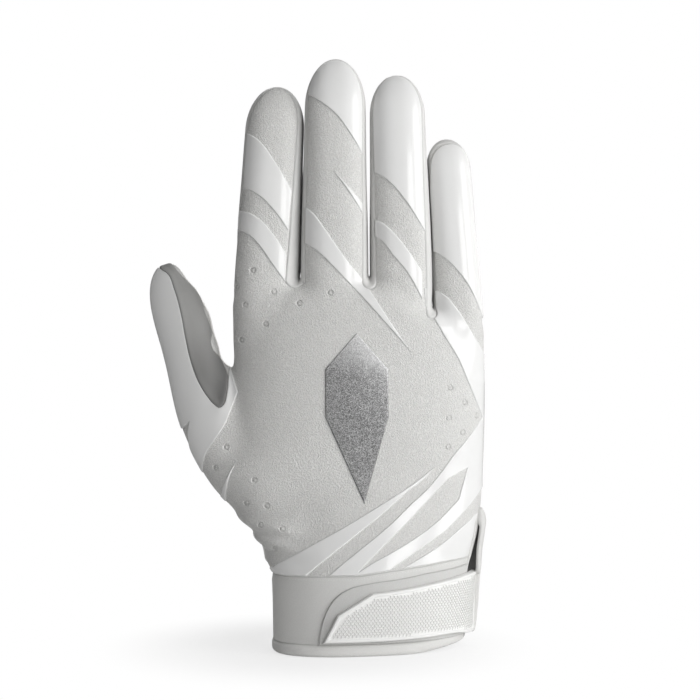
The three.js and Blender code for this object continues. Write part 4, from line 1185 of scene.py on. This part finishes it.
# films laid on the fabric
filmForm = {"thick": 0.5, "round": 0.45, "under": -0.25, "inset": 0.15, "steps": (0.07, 0.2, 0.5), "stepsTo": 3,
            "finer": (1.3, 0.4), "aboveCuff": 0.35, "offVent": 2.6, "flatter": 0.62, "flatFrom": -34, "flatOver": 9,
            "thumbFaces": (-0.45, -0.89, 0.05)}


def filmRelief(d):
    s = np.clip(1 - np.maximum(d, 0) / filmForm["round"], 0, 1)
    high = np.sqrt(np.maximum(1 - s * s, 0))
    return filmForm["thick"] * high, filmForm["thick"] / filmForm["round"] * np.minimum(s / high.clip(0.25), 3)


def filmSkin(fieldOf):    # the skin under a film, finer at its edge, with the lines that its roundness needs
    value, grow = fieldOf(whole)
    skin = Skin({**whole.values, "film": value, "filmGrow": grow}, whole.tris)
    skin = skin.part(skin.at("film") > -filmForm["stepsTo"])
    for reach in filmForm["finer"]:
        skin = skin.halve(np.abs(skin.values["film"][skin.tris]).min(1) < reach)
        skin.values["film"], skin.values["filmGrow"] = fieldOf(skin)
    skin = skin.split("film")
    skin = skin.part(skin.at("film") > 0)
    for step in filmForm["steps"]:
        skin = skin.cutAt(skin.values["film"] - step, skin.at("film") < filmForm["stepsTo"])
    skin.values["edge"] = skin.values["film"]
    return skin


def flatter(skin, normals):    # the thumb's film is stretched flatter than the cloth under it
    share = filmForm["flatter"] * smooth((filmForm["flatFrom"] - skin.values["place"][:, :1]) / filmForm["flatOver"])
    return unit(normals * (1 - share) + np.array(filmForm["thumbFaces"]) * share)


def filmPieces(name, fieldOf, nodes, finish="gloss"):
    skin = filmSkin(fieldOf)
    own = next((f["name"] for f in fingers if name.startswith("film_" + f["name"])), "")
    for body, chosen in zones(skin).items():
        if own and body not in ("hand", own + "_root", own + "_end"):    # the sliver past a finger's edge is left off
            continue
        part = skin.part(chosen)
        top, slope = filmRelief(part.values["film"])
        node = nodes.get(body)
        piece = shellOf((node or f"{name}_{body}") + "_sheet", part, top, filmForm["under"],
                        flatter(part, tilted(part, (part.values["filmGrow"], slope), wristLean(part))))
        settle(piece, body, finish, node)


def evenWay(skin, x, y, z):    # one way to grow for all of a skin's points
    return np.tile((x, y, z), (len(skin.values["place"]), 1))


def onFront(skin):
    return skin.values["front"] - 0.05, evenWay(skin, 0.0, -1.0, 0.0)


def offVent(skin):
    return -ventField(skin.values["place"], filmForm["offVent"]), evenWay(skin, 0.0, 0.0, 0.0)


def aboveCuff(skin):
    return skin.values["cuff"] - filmForm["aboveCuff"], evenWay(skin, 0.0, 0.0, 1.0)


def onHand(skin):    # where a film can lie: inside the seams, off the vent and above the cuff
    onPanels = lesser((skin.values["panel"] - filmForm["inset"], skin.values["panelGrow"]), onFront(skin))
    return lesser(lesser(onPanels, offVent(skin)), aboveCuff(skin))


def outlineOf(strokes, hole=None, room=onHand):    # a film's own field, kept to its room and off its hole
    def fieldOf(skin):
        places = skin.values["place"]
        field = lesser(drawnField(strokes, places), room(skin))
        return lesser(field, turned(drawnField(hole, places))) if hole else field
    return fieldOf


print("glove: films")
for name, nodes in (
        ("indexUpper", {"index_end": "film_index_upper"}),
        ("indexLower", {"index_root": "film_index_lower"}),
        ("middleTip", {"middle_end": "film_middle_tip"}),
        ("middleSliver", {}),
        ("middleLower", {"hand": "film_knuckle", "middle_root": "film_middle_root"}),
        ("ringTip", {"ring_end": "film_ring_tip"}),
        ("ringStripe", {"ring_root": "film_ring_root"}),
        ("littleTip", {"little_end": "film_little_tip", "little_root": "film_little_root"}),
        ("corner", {"hand": "film_corner"}),
        ("wristStripe", {"hand": "film_wrist"}),
        ("leftSliver", {})):
    filmPieces("film_" + name, outlineOf(outlines[name]), nodes)
filmPieces("film_sideBand", outlineOf(outlines["side"], outlines["lozenge"]), {"hand": "film_side"})
filmPieces("film_thumbPatch", outlineOf(outlines["thumbFilm"], outlines["thumbFacet"],
                                        lambda skin: lesser(onFront(skin), aboveCuff(skin))),
           {"hand": "film_thumb"})
filmPieces("badge", outlineOf(badgeLine), {"hand": "badge"}, "glitter")


# cuff: loop pad and strap
print("glove: strap")
pad = {"start": 0.45, "rise": 1.5, "under": 0.05, "overHem": 0.2, "offVent": 0.4,
       "line": chained([[tuple(p) for p in padEdge], [(72.0, 34.0)], [(72.0, -3.0)], [(0.0, -3.0)],
                        [tuple(padEdge[0])]])}


def padRoom(skin):
    overHem = (skin.values["hem"] - pad["overHem"], evenWay(skin, 0.0, 0.0, 1.0))
    edge = vent["middle"] - vent["low"] - pad["offVent"]
    return lesser(overHem, lesser((edge - skin.values["place"][:, 1], evenWay(skin, 0.0, -1.0, 0.0)), offVent(skin)))


padSkin = filmSkin(outlineOf(pad["line"], None, padRoom))
high, slope = filmRelief(padSkin.values["film"])
lean = tilted(padSkin, (padSkin.values["filmGrow"], slope * pad["rise"]), wristLean(padSkin))
settle(shellOf("loop_pad_pile", padSkin, pad["start"] + high * pad["rise"], pad["under"], lean),
       "hand", "hookloop", "loop_pad", flatCut(padSkin))

strap = {"top": 3.3, "rimTop": 3.8, "under": 1.5, "round": 0.6, "roundShare": 0.55, "rim": 1.05, "fall": 0.35,
         "hollow": 2.25, "hollowInset": 3.7, "hollowEnd": 30.3, "end": 4.4}


def strapRoom(skin):
    return strap["end"] - skin.values["place"][:, 1], evenWay(skin, 0.0, -1.0, 0.0)


def strapRelief(d):    # its height inside its outline, with a rounded rim, and the slope of that
    edge = np.clip(d / strap["round"], 0, 1)
    rimHigh = np.sqrt(np.clip(1 - (1 - edge) ** 2, 0, 1))
    t = np.clip((d - strap["rim"]) / strap["fall"], 0, 1)
    step = strap["rimTop"] - strap["top"]
    level = strap["rimTop"] - step * smooth(t)
    high = strap["under"] + (level - strap["under"]) * (1 - strap["roundShare"] + strap["roundShare"] * rimHigh)
    steep = (strap["rimTop"] - strap["under"]) * strap["roundShare"] / strap["round"]
    slope = np.where(d < strap["round"], steep * np.minimum((1 - edge) / rimHigh.clip(0.3), 2), 0)
    return high, slope - step * 6 * t * (1 - t) / strap["fall"]


strapSkin = filmSkin(outlineOf(outlines["strap"], None, strapRoom))
rimEnd = strap["rim"] + strap["fall"]
for step in (0.2, strap["round"], strap["rim"], strap["rim"] + strap["fall"] / 2, rimEnd, rimEnd + 0.3):
    strapSkin = strapSkin.cutAt(strapSkin.values["film"] - step)
top, slope = strapRelief(strapSkin.values["film"])
hollow = (strapSkin.values["film"] > strap["hollowInset"]) & (strapSkin.values["place"][:, 0] < strap["hollowEnd"])
settle(shellOf("strap_moulded", strapSkin, top, np.where(hollow, strap["hollow"], strap["under"]),
               tilted(strapSkin, (strapSkin.values["filmGrow"], slope))), "wrist_strap", "moulded", "strap")


# geometry nodes
class Tree:    # a geometry nodes tree with named inputs
    def __init__(self, name, finish, inputs):
        self.tree = bpy.data.node_groups.new(name, "GeometryNodeTree")
        self.finish, self.inputs, self.ids = finish, {**inputs, "Material": finishes[finish]}, {}
        face = self.tree.interface
        face.new_socket("Geometry", in_out="INPUT", socket_type="NodeSocketGeometry")
        for key in self.inputs:
            kind = "NodeSocketMaterial" if key == "Material" else "NodeSocketFloat"
            self.ids[key] = face.new_socket(key, in_out="INPUT", socket_type=kind).identifier
        face.new_socket("Geometry", in_out="OUTPUT", socket_type="NodeSocketGeometry")
        self.start = self.tree.nodes.new("NodeGroupInput").outputs

    def node(self, kind, settings=None, sockets=None):
        return addNode(self.tree, kind, settings, sockets).outputs[0]

    def named(self, name):
        found = addNode(self.tree, "GeometryNodeInputNamedAttribute", {"data_type": "FLOAT_VECTOR"}, {"Name": name})
        return next(s for s in found.outputs if s.enabled)

    def end(self, geometry):    # real geometry with its material
        real = self.node("GeometryNodeRealizeInstances", {}, {0: geometry})
        smoothed = self.node("GeometryNodeSetShadeSmooth", {}, {0: real})
        painted = self.node("GeometryNodeSetMaterial", {}, {0: smoothed, "Material": self.start["Material"]})
        addNode(self.tree, "NodeGroupOutput", {}, {0: painted})
        return self

    def grow(self, name, source, body, node=None):    # the plain mesh that the tree makes of a source
        modifier = source.modifiers.new("grow", "NODES")
        modifier.node_group = self.tree
        for key, value in self.inputs.items():
            modifier[self.ids[key]] = value
        mesh = bpy.data.meshes.new_from_object(source.evaluated_get(bpy.context.evaluated_depsgraph_get()))
        bpy.data.objects.remove(source)
        for key in [a.name for a in mesh.attributes if a.name in ("out", "way")]:
            mesh.attributes.remove(mesh.attributes[key])
        settle(addObject(name, mesh), body, self.finish, node)


def pathMesh(points, outs, ways=None):    # a line to grow along, or with ways, points to set things on
    mesh = bpy.data.meshes.new("path")
    edges = [] if ways is not None else [(i, i + 1) for i in range(len(points) - 1)]
    mesh.from_pydata([tuple(p) for p in (points + frameShift) * mm], edges, [])
    give(mesh, "out", outs)
    if ways is not None:
        give(mesh, "way", ways)
    return addObject("path", mesh)


def rollTree(name, form, finish):    # a rounded bar along a path, its width square to the face
    sizes = {"Width": form["wide"] * mm, "Height": form["high"] * mm, "Corner": form["corner"] * mm}
    made = Tree(name, finish, sizes)
    line = made.node("GeometryNodeMeshToCurve", {}, {0: made.start["Geometry"]})
    line = made.node("GeometryNodeSetCurveNormal", {"mode": "FREE"}, {0: line, "Normal": made.named("out")})
    bar = made.node("GeometryNodeCurvePrimitiveQuadrilateral", {}, {
        "Width": made.start["Width"], "Height": made.start["Height"]})
    rounded = made.node("GeometryNodeFilletCurve", {"mode": "POLY"}, {
        0: bar, "Count": 4, "Radius": made.start["Corner"]})
    return made.end(made.node("GeometryNodeCurveToMesh", {}, {0: line, "Profile Curve": rounded, "Fill Caps": True}))


def setTree(name, inputs, finish, shape):    # a small shape on each point: its Z along "out", its X along "way"
    made = Tree(name, finish, {key: value * mm for key, value in inputs.items()})
    turn = made.node("FunctionNodeAxesToRotation", {"primary_axis": "Z", "secondary_axis": "X"}, {
        0: made.named("out"), 1: made.named("way")})
    return made.end(made.node("GeometryNodeInstanceOnPoints", {}, {
        "Points": made.start["Geometry"], "Instance": shape(made), "Rotation": turn}))


def crescent(made):    # an open ring of round wire
    arc = made.node("GeometryNodeCurveArc", {}, {
        "Resolution": 7, "Radius": made.start["Radius"], "Start Angle": math.radians(-75),
        "Sweep Angle": math.radians(150)})
    wire = made.node("GeometryNodeCurvePrimitiveCircle", {}, {"Resolution": 5, "Radius": made.start["Wire"]})
    return made.node("GeometryNodeCurveToMesh", {}, {0: arc, "Profile Curve": wire, "Fill Caps": True})


def bead(made):    # one stitch: a long bead
    ball = made.node("GeometryNodeMeshUVSphere", {}, {"Segments": 6, "Rings": 5, "Radius": 0.5})
    size = made.node("ShaderNodeCombineXYZ", {}, {
        "X": made.start["Long"], "Y": made.start["Wide"], "Z": made.start["High"]})
    return made.node("GeometryNodeTransform", {}, {0: ball, "Scale": size})


def disc(made):    # the smooth floor of an eyelet
    return made.node("GeometryNodeMeshCylinder", {}, {
        "Vertices": 20, "Radius": made.start["Radius"], "Depth": made.start["Depth"]})


def faceFrom(start, way, near, far, rounds=36):    # the face's points on ways that leave it between two distances
    near, far = np.full(len(way), near), np.full(len(way), far)
    for _ in range(rounds):
        mid = (near + far) / 2
        outside = gloveField(*(start + way * mid[:, None]).T) > 0
        far, near = np.where(outside, mid, far), np.where(outside, near, mid)
    return start + way * near[:, None]


def onBack(x, z, side=-1):    # points at places seen from the front, or from behind
    return faceFrom(np.stack([x, partY(x, z), z], -1), np.tile((0.0, side, 0.0), (len(x), 1)), 0.0, 32.0, 32)


def onSide(y, z):    # points at the little finger's side at a depth and height
    return faceFrom(np.stack([0 * z, y, z], -1), np.tile((1.0, 0.0, 0.0), (len(z), 1)), 20.0, 80.0)


def contourAt(z, turns, centre=(14.0, 2.0)):    # points at one height, by turn round the wrist
    return faceFrom(np.array((*centre, z)), np.stack([np.cos(turns), np.sin(turns), 0 * turns], -1), 5.0, 75.0)


# rim of the cuff
print("glove: hem")
hemForm = {"wide": 3.3, "high": cuff["hem"], "corner": 1.6, "proud": 0.5, "lift": 2.2, "liftFrom": 34, "liftOver": 24,
           "steps": 220}
loop = contourAt(hemForm["high"] / 2, np.linspace(-math.pi, math.pi, 1440, endpoint=False))
shut = np.abs(loop[:, 1] - vent["middle"]) < vent["low"]
gone = np.flatnonzero(shut & (loop[:, 0] > vent["from"]))
loop = np.concatenate([loop[gone[-1] + 1:], loop[:gone[0]]])
way = lengthsOf(loop)
loop = pointsOn(loop, way, np.linspace(0, way[-1], hemForm["steps"]))
outs = unit(slopeAt(loop)[1] * (1, 1, 0))
hemPath = loop + outs * (hemForm["proud"] - hemForm["wide"] / 2)
hemPath[:, 2] += hemForm["lift"] * smooth((hemPath[:, 0] - hemForm["liftFrom"]) / hemForm["liftOver"])
rollTree("hemRoll", hemForm, "cuff").grow("hem_roll", pathMesh(hemPath, outs), "hand", "hem")


# binding round the vent
print("glove: binding")
bindForm = {"wide": 2.2, "front": 0.8, "under": -1.4, "flapHalf": 0.7, "behindFlap": 0.6}
flapForm = {"y": 2.1, "half": 3.3, "from": 28.5, "to": 54.0, "thick": 2.0, "closing": 46.5, "closed": 49.5}
# how far the flap behind the slit stands out: height, reach
flapRows = np.array([(4.0, 3.0), (6.0, 4.4), (8.7, 4.8), (14.1, 5.0), (17.6, 5.2), (25.9, 5.2), (31.1, 5.3),
                     (39.4, 3.8), (45.3, 3.2), (49.6, 3.1), (51.6, 2.4), (53.6, 1.3), (55.0, 0.8)])


def sweptBar(name, path, tops, unders, halves, deep, node=None):
    # a soft bar along a path: how far it stands out, reaches in and spreads sideways varies on the way; deep sets
    # painted shade on its side towards the slit
    outs = upright(path)
    sides = np.cross(outs, unit(np.gradient(path, axis=0)))
    turns = np.linspace(0, 2 * math.pi, 16, endpoint=False)
    c, s = np.cos(turns), np.sin(turns)
    a, b = np.sign(c) * np.abs(c) ** 0.75, np.sign(s) * np.abs(s) ** 0.75
    middle, half = (tops + unders) / 2, (tops - unders) / 2
    rings = (path[:, None] + sides[:, None] * (halves[:, None] * a)[..., None]
             + outs[:, None] * (middle[:, None] + half[:, None] * b)[..., None])
    points = np.concatenate([rings.reshape(-1, 3), rings[0].mean(0)[None], rings[-1].mean(0)[None]])
    grid = np.arange(rings[..., 0].size).reshape(len(path), len(turns))
    ahead = np.roll(grid, -1, axis=1)
    tris = np.stack([grid[:-1], ahead[:-1], ahead[1:], grid[:-1], ahead[1:], grid[1:]], -1).reshape(-1, 3)
    caps = [np.stack([np.full(len(turns), grid.size), ahead[0], grid[0]], -1),
            np.stack([np.full(len(turns), grid.size + 1), grid[-1], ahead[-1]], -1)]
    # painted shade on the side that faces the slit, as strong as deep
    slitShade = np.append((deep[:, None] * smooth(0.6 - a * 1.2 - np.maximum(b, 0))).ravel(), (0, 0))
    piece = makeMesh(name, points, np.concatenate([tris, *caps]), None, {"deep": slitShade})
    work = bmesh.new()
    work.from_mesh(piece.data)
    bmesh.ops.recalc_face_normals(work, faces=work.faces)
    work.to_mesh(piece.data)
    work.free()
    settle(piece, "hand", "cuff", node)


half = bindForm["wide"] / 2
climb = np.concatenate([np.linspace(5.0, 30.0, 12), np.linspace(32.0, vent["top"] - 1.6, 14)])
edges = ventSides(climb)
turn = np.linspace(-math.pi / 2, math.pi / 2, 11)[1:-1]
yz = spread(np.concatenate([
    np.stack([edges[0] - half * 0.6, climb], -1),
    np.stack([vent["middle"] + (vent["high"] + half * 0.8) * np.sin(turn),
              vent["top"] - 1.0 + (1.4 + half) * np.cos(turn)], -1),
    np.stack([edges[1] + bindForm["flapHalf"], climb], -1)[::-1]]), 1.0)
y, z = yz.T
behind = np.arange(len(z)) / len(z) > 0.5    # the way down behind the slit
isRear = smooth((y - vent["middle"] + 0.8) / 2.4) * behind
underStrap = (1 - isRear) * smooth((36 - z) / 4)    # flat where the strap lies over it
flapHigh = np.interp(z, *flapRows.T) - bindForm["behindFlap"] * smooth((z - 29) / 3)
tops = bindForm["front"] + (flapHigh - bindForm["front"]) * isRear - underStrap * 0.3
# the rear part above 28 mm gets painted shade on its side towards the slit
sweptBar("vent_binding_roll", onSide(y, z), tops, np.full(len(z), bindForm["under"]),
         half + (bindForm["flapHalf"] - half) * isRear, isRear * smooth((z - 28) / 2), "vent_binding")

z = np.linspace(flapForm["from"], flapForm["to"], 40)    # the flap reaches forward over the slit
share = (z - z[0]) / (z[-1] - z[0])
tops = np.interp(z, *flapRows.T)
thin = (tops - 1.0) * smooth((z - flapForm["closing"]) / (flapForm["closed"] - flapForm["closing"]))
sweptBar("vent_flap", onSide(np.full(len(z), flapForm["y"]), z), tops, tops - flapForm["thick"] - thin,
         flapForm["half"] * (1 - np.abs(2 * share - 1) ** 5) ** 0.5 + 0.05, share * 0)

hooks = frame["nodes"]["strap_hooks"]
hooks.data.materials.clear()
hooks.data.materials.append(finishes["hookloop"])


# eyelets, scales and stitches
print("glove: details")
eyeletTree = setTree("eyeletFloors", {"Radius": eyelet["floor"], "Depth": eyelet["high"]}, "fabric", disc)
spots = onBack(*eyeletPlaces.T)
spotRise = risesAt(spots)[0]
for body, chosen in (("index_root", spotRise > 0), ("hand", spotRise <= 0)):
    p = spots[chosen]
    out = upright(p)
    places = pathMesh(p - out * (eyelet["depth"] + eyelet["sunk"]), out, np.tile((1.0, 0.0, 0.0), (len(p), 1)))
    eyeletTree.grow("eyelets_" + body, places, body)

scaleForm = {"pitch": 1.35, "row": 1.9, "radius": 0.52, "wire": 0.22, "lift": 0.08, "inset": 1.95, "from": 2.6,
             "to": 31.0, "past": 2.2, "turns": (-2.9, 0.35, 420), "most": 90,
             "open": 60, "openMiddle": 18.5, "openHalf": 9.6}
scaleTree = setTree("strapScales", {"Radius": scaleForm["radius"], "Wire": scaleForm["wire"]}, "scale", crescent)
found = []
strapRing = strokeLine(outlines["strap"])
for k, z in enumerate(np.arange(scaleForm["from"], scaleForm["to"], scaleForm["row"] / 2)):
    ring = contourAt(z, np.linspace(*scaleForm["turns"]))
    ring = ring[ring[:, 1] < strap["end"] - scaleForm["past"]]
    way = lengthsOf(ring)
    way -= np.interp(0.0, ring[:, 0], way)
    even = np.arange(0, scaleForm["most"]) * scaleForm["pitch"] + (k % 2) * scaleForm["pitch"] / 2
    row = pointsOn(ring, way, even[even < way[-1]])
    inside = lineField(strapRing, row[:, 0], row[:, 2])[0] > scaleForm["inset"]
    past = (row[:, 0] > scaleForm["open"]) & (np.abs(row[:, 2] - scaleForm["openMiddle"]) < scaleForm["openHalf"])
    found.append(row[inside | past])
found = np.concatenate(found)
out = upright(found)
places = pathMesh(found + out * (strap["top"] + scaleForm["lift"]), out, np.cross((0, 0, 1.0), out))
scaleTree.grow("strap_scales", places, "wrist_strap")

stitchForm = {"long": 0.62, "wide": 0.26, "high": 0.2, "pitch": 1.02, "fromSeam": 1.1, "fromEdge": 2.6,
              "onStrap": (21, 60), "onCuff": 0.02, "lift": 0.04}
stitchTree = setTree("stitches", {"Long": stitchForm["long"], "Wide": stitchForm["wide"],
                                  "High": stitchForm["high"]}, "thread", bead)


def stitchRow(name, line, drop, height, body, side=-1):    # stitches at a drop below a line of places, in x and z
    p = onBack(*spread(line - np.array((0, drop)), stitchForm["pitch"]).T, side)
    out = upright(p)
    stitchTree.grow(name, pathMesh(p + out * height, out, np.gradient(p, axis=0)), body)


strapEdge = strokeLine(outlines["strap"][1:3])
low, high = stitchForm["onStrap"]
stitchRow("strap_stitches", strapEdge[(strapEdge[:, 0] > low) & (strapEdge[:, 0] < high)], stitchForm["fromEdge"],
          strap["top"] + stitchForm["lift"], "wrist_strap")
for name, line, drop, side in (("cuff_stitches_back", cuffSeam[2:-2], 1, -1),
                               ("cuff_stitches_palm", cuffSeam[1:-2], 1, 1),
                               ("cuff_stitches_palm_upper", cuffSeam[1:-2], -1, 1)):
    stitchRow(name, line, drop * stitchForm["fromSeam"], stitchForm["onCuff"], "hand", side)


# camera, light and floor
print("glove: stage")
view = {"place": (0.0131, -0.6495, 0.116), "lens": 85.05, "sensor": 36.0}
scene = bpy.context.scene
camera = scene.camera = addObject("camera", bpy.data.cameras.new("camera"))
camera.data.lens, camera.data.sensor_width = view["lens"], view["sensor"]
camera.location = view["place"]
camera.rotation_euler = (math.radians(90), 0, 0)
camera.data.clip_start = 0.01
scene.view_settings.view_transform = "Standard"

softboxes = {    # place, aim, width, height, watts
    "key": ((0.83, -0.46, 0.36), (0.0, 0.0, 0.12), 0.45, 0.8, 5.5),
    "front": ((0.55, -0.95, 0.36), (0.0, 0.0, 0.12), 0.35, 0.5, 3.4),
    "back": ((0.1, 0.9, 0.55), (0.0, 0.0, 0.1), 0.8, 0.6, 2.0),
}
for name, (place, aim, width, height, watts) in softboxes.items():
    lamp = bpy.data.lights.new(name, "AREA")
    lamp.shape, lamp.size, lamp.size_y, lamp.energy = "RECTANGLE", width, height, watts
    box = addObject(name, lamp)
    box.location = place
    box.rotation_euler = (Vector(aim) - Vector(place)).to_track_quat("-Z", "Y").to_euler()

stageForm = {"world": 0.185, "card": 0.25, "paper": 0.93, "rough": 0.9, "floor": 6.0, "below": 0.0002,
             "fadeFrom": 0.03, "fadeTo": 0.09, "glow": 0.72}


def flatThing(name, material, corners, grey):    # one matt face of the stage
    made = addObject(name, bpy.data.meshes.new(name))
    made.data.from_pydata(corners, [], [(0, 1, 2, 3)])
    matt = addMaterial(material, {"Base Color": (grey, grey, grey, 1), "Roughness": stageForm["rough"]})
    made.data.materials.append(matt)
    return made, matt.node_tree


flag, _ = flatThing("flag", "greyCard", [    # off to the left
    (-0.24, -0.45, 0), (-0.24, 0.3, 0), (-0.24, 0.3, 0.55), (-0.24, -0.45, 0.55)], stageForm["card"])
flag.visible_camera = False

world = scene.world = bpy.data.worlds.new("studio")
world.use_nodes = True
sky = world.node_tree
rays = addNode(sky, "ShaderNodeLightPath").outputs
seen = rays["Is Camera Ray"]
for ray in ("Is Glossy Ray", "Is Transmission Ray"):
    seen = addNode(sky, "ShaderNodeMath", {"operation": "MAXIMUM"}, {0: seen, 1: rays[ray]}).outputs[0]
level = addNode(sky, "ShaderNodeMapRange", {}, {"Value": seen, "To Min": stageForm["world"], "To Max": 1.0})
fill(sky, sky.nodes["Background"], {"Strength": level.outputs[0], "Color": (1, 1, 1, 1)})

reach = stageForm["floor"]
floor, tree = flatThing("floor", "paper", [
    (-reach, -reach, 0), (reach, -reach, 0), (reach, reach, 0), (-reach, reach, 0)], stageForm["paper"])
floor.location.z = -stageForm["below"]
# to the camera it glows white away from the glove, and keeps a soft shadow near it
away = addNode(tree, "ShaderNodeVectorMath", {"operation": "LENGTH"}, {
    0: addNode(tree, "ShaderNodeTexCoord").outputs["Object"]})
fade = addNode(tree, "ShaderNodeMapRange", {"interpolation_type": "SMOOTHSTEP"}, {
    "Value": away.outputs["Value"], "From Min": stageForm["fadeFrom"], "From Max": stageForm["fadeTo"],
    "To Min": stageForm["glow"]})
both = addNode(tree, "ShaderNodeMath", {"operation": "MULTIPLY"}, {
    0: fade.outputs[0], 1: addNode(tree, "ShaderNodeLightPath").outputs["Is Camera Ray"]})
glow = addNode(tree, "ShaderNodeEmission", {}, {"Strength": 1.0})
mixer = addNode(tree, "ShaderNodeMixShader", {}, {
    0: both.outputs[0], 1: tree.nodes["Principled BSDF"].outputs[0], 2: glow.outputs[0]})
fill(tree, tree.nodes["Material Output"], {0: mixer.outputs[0]})
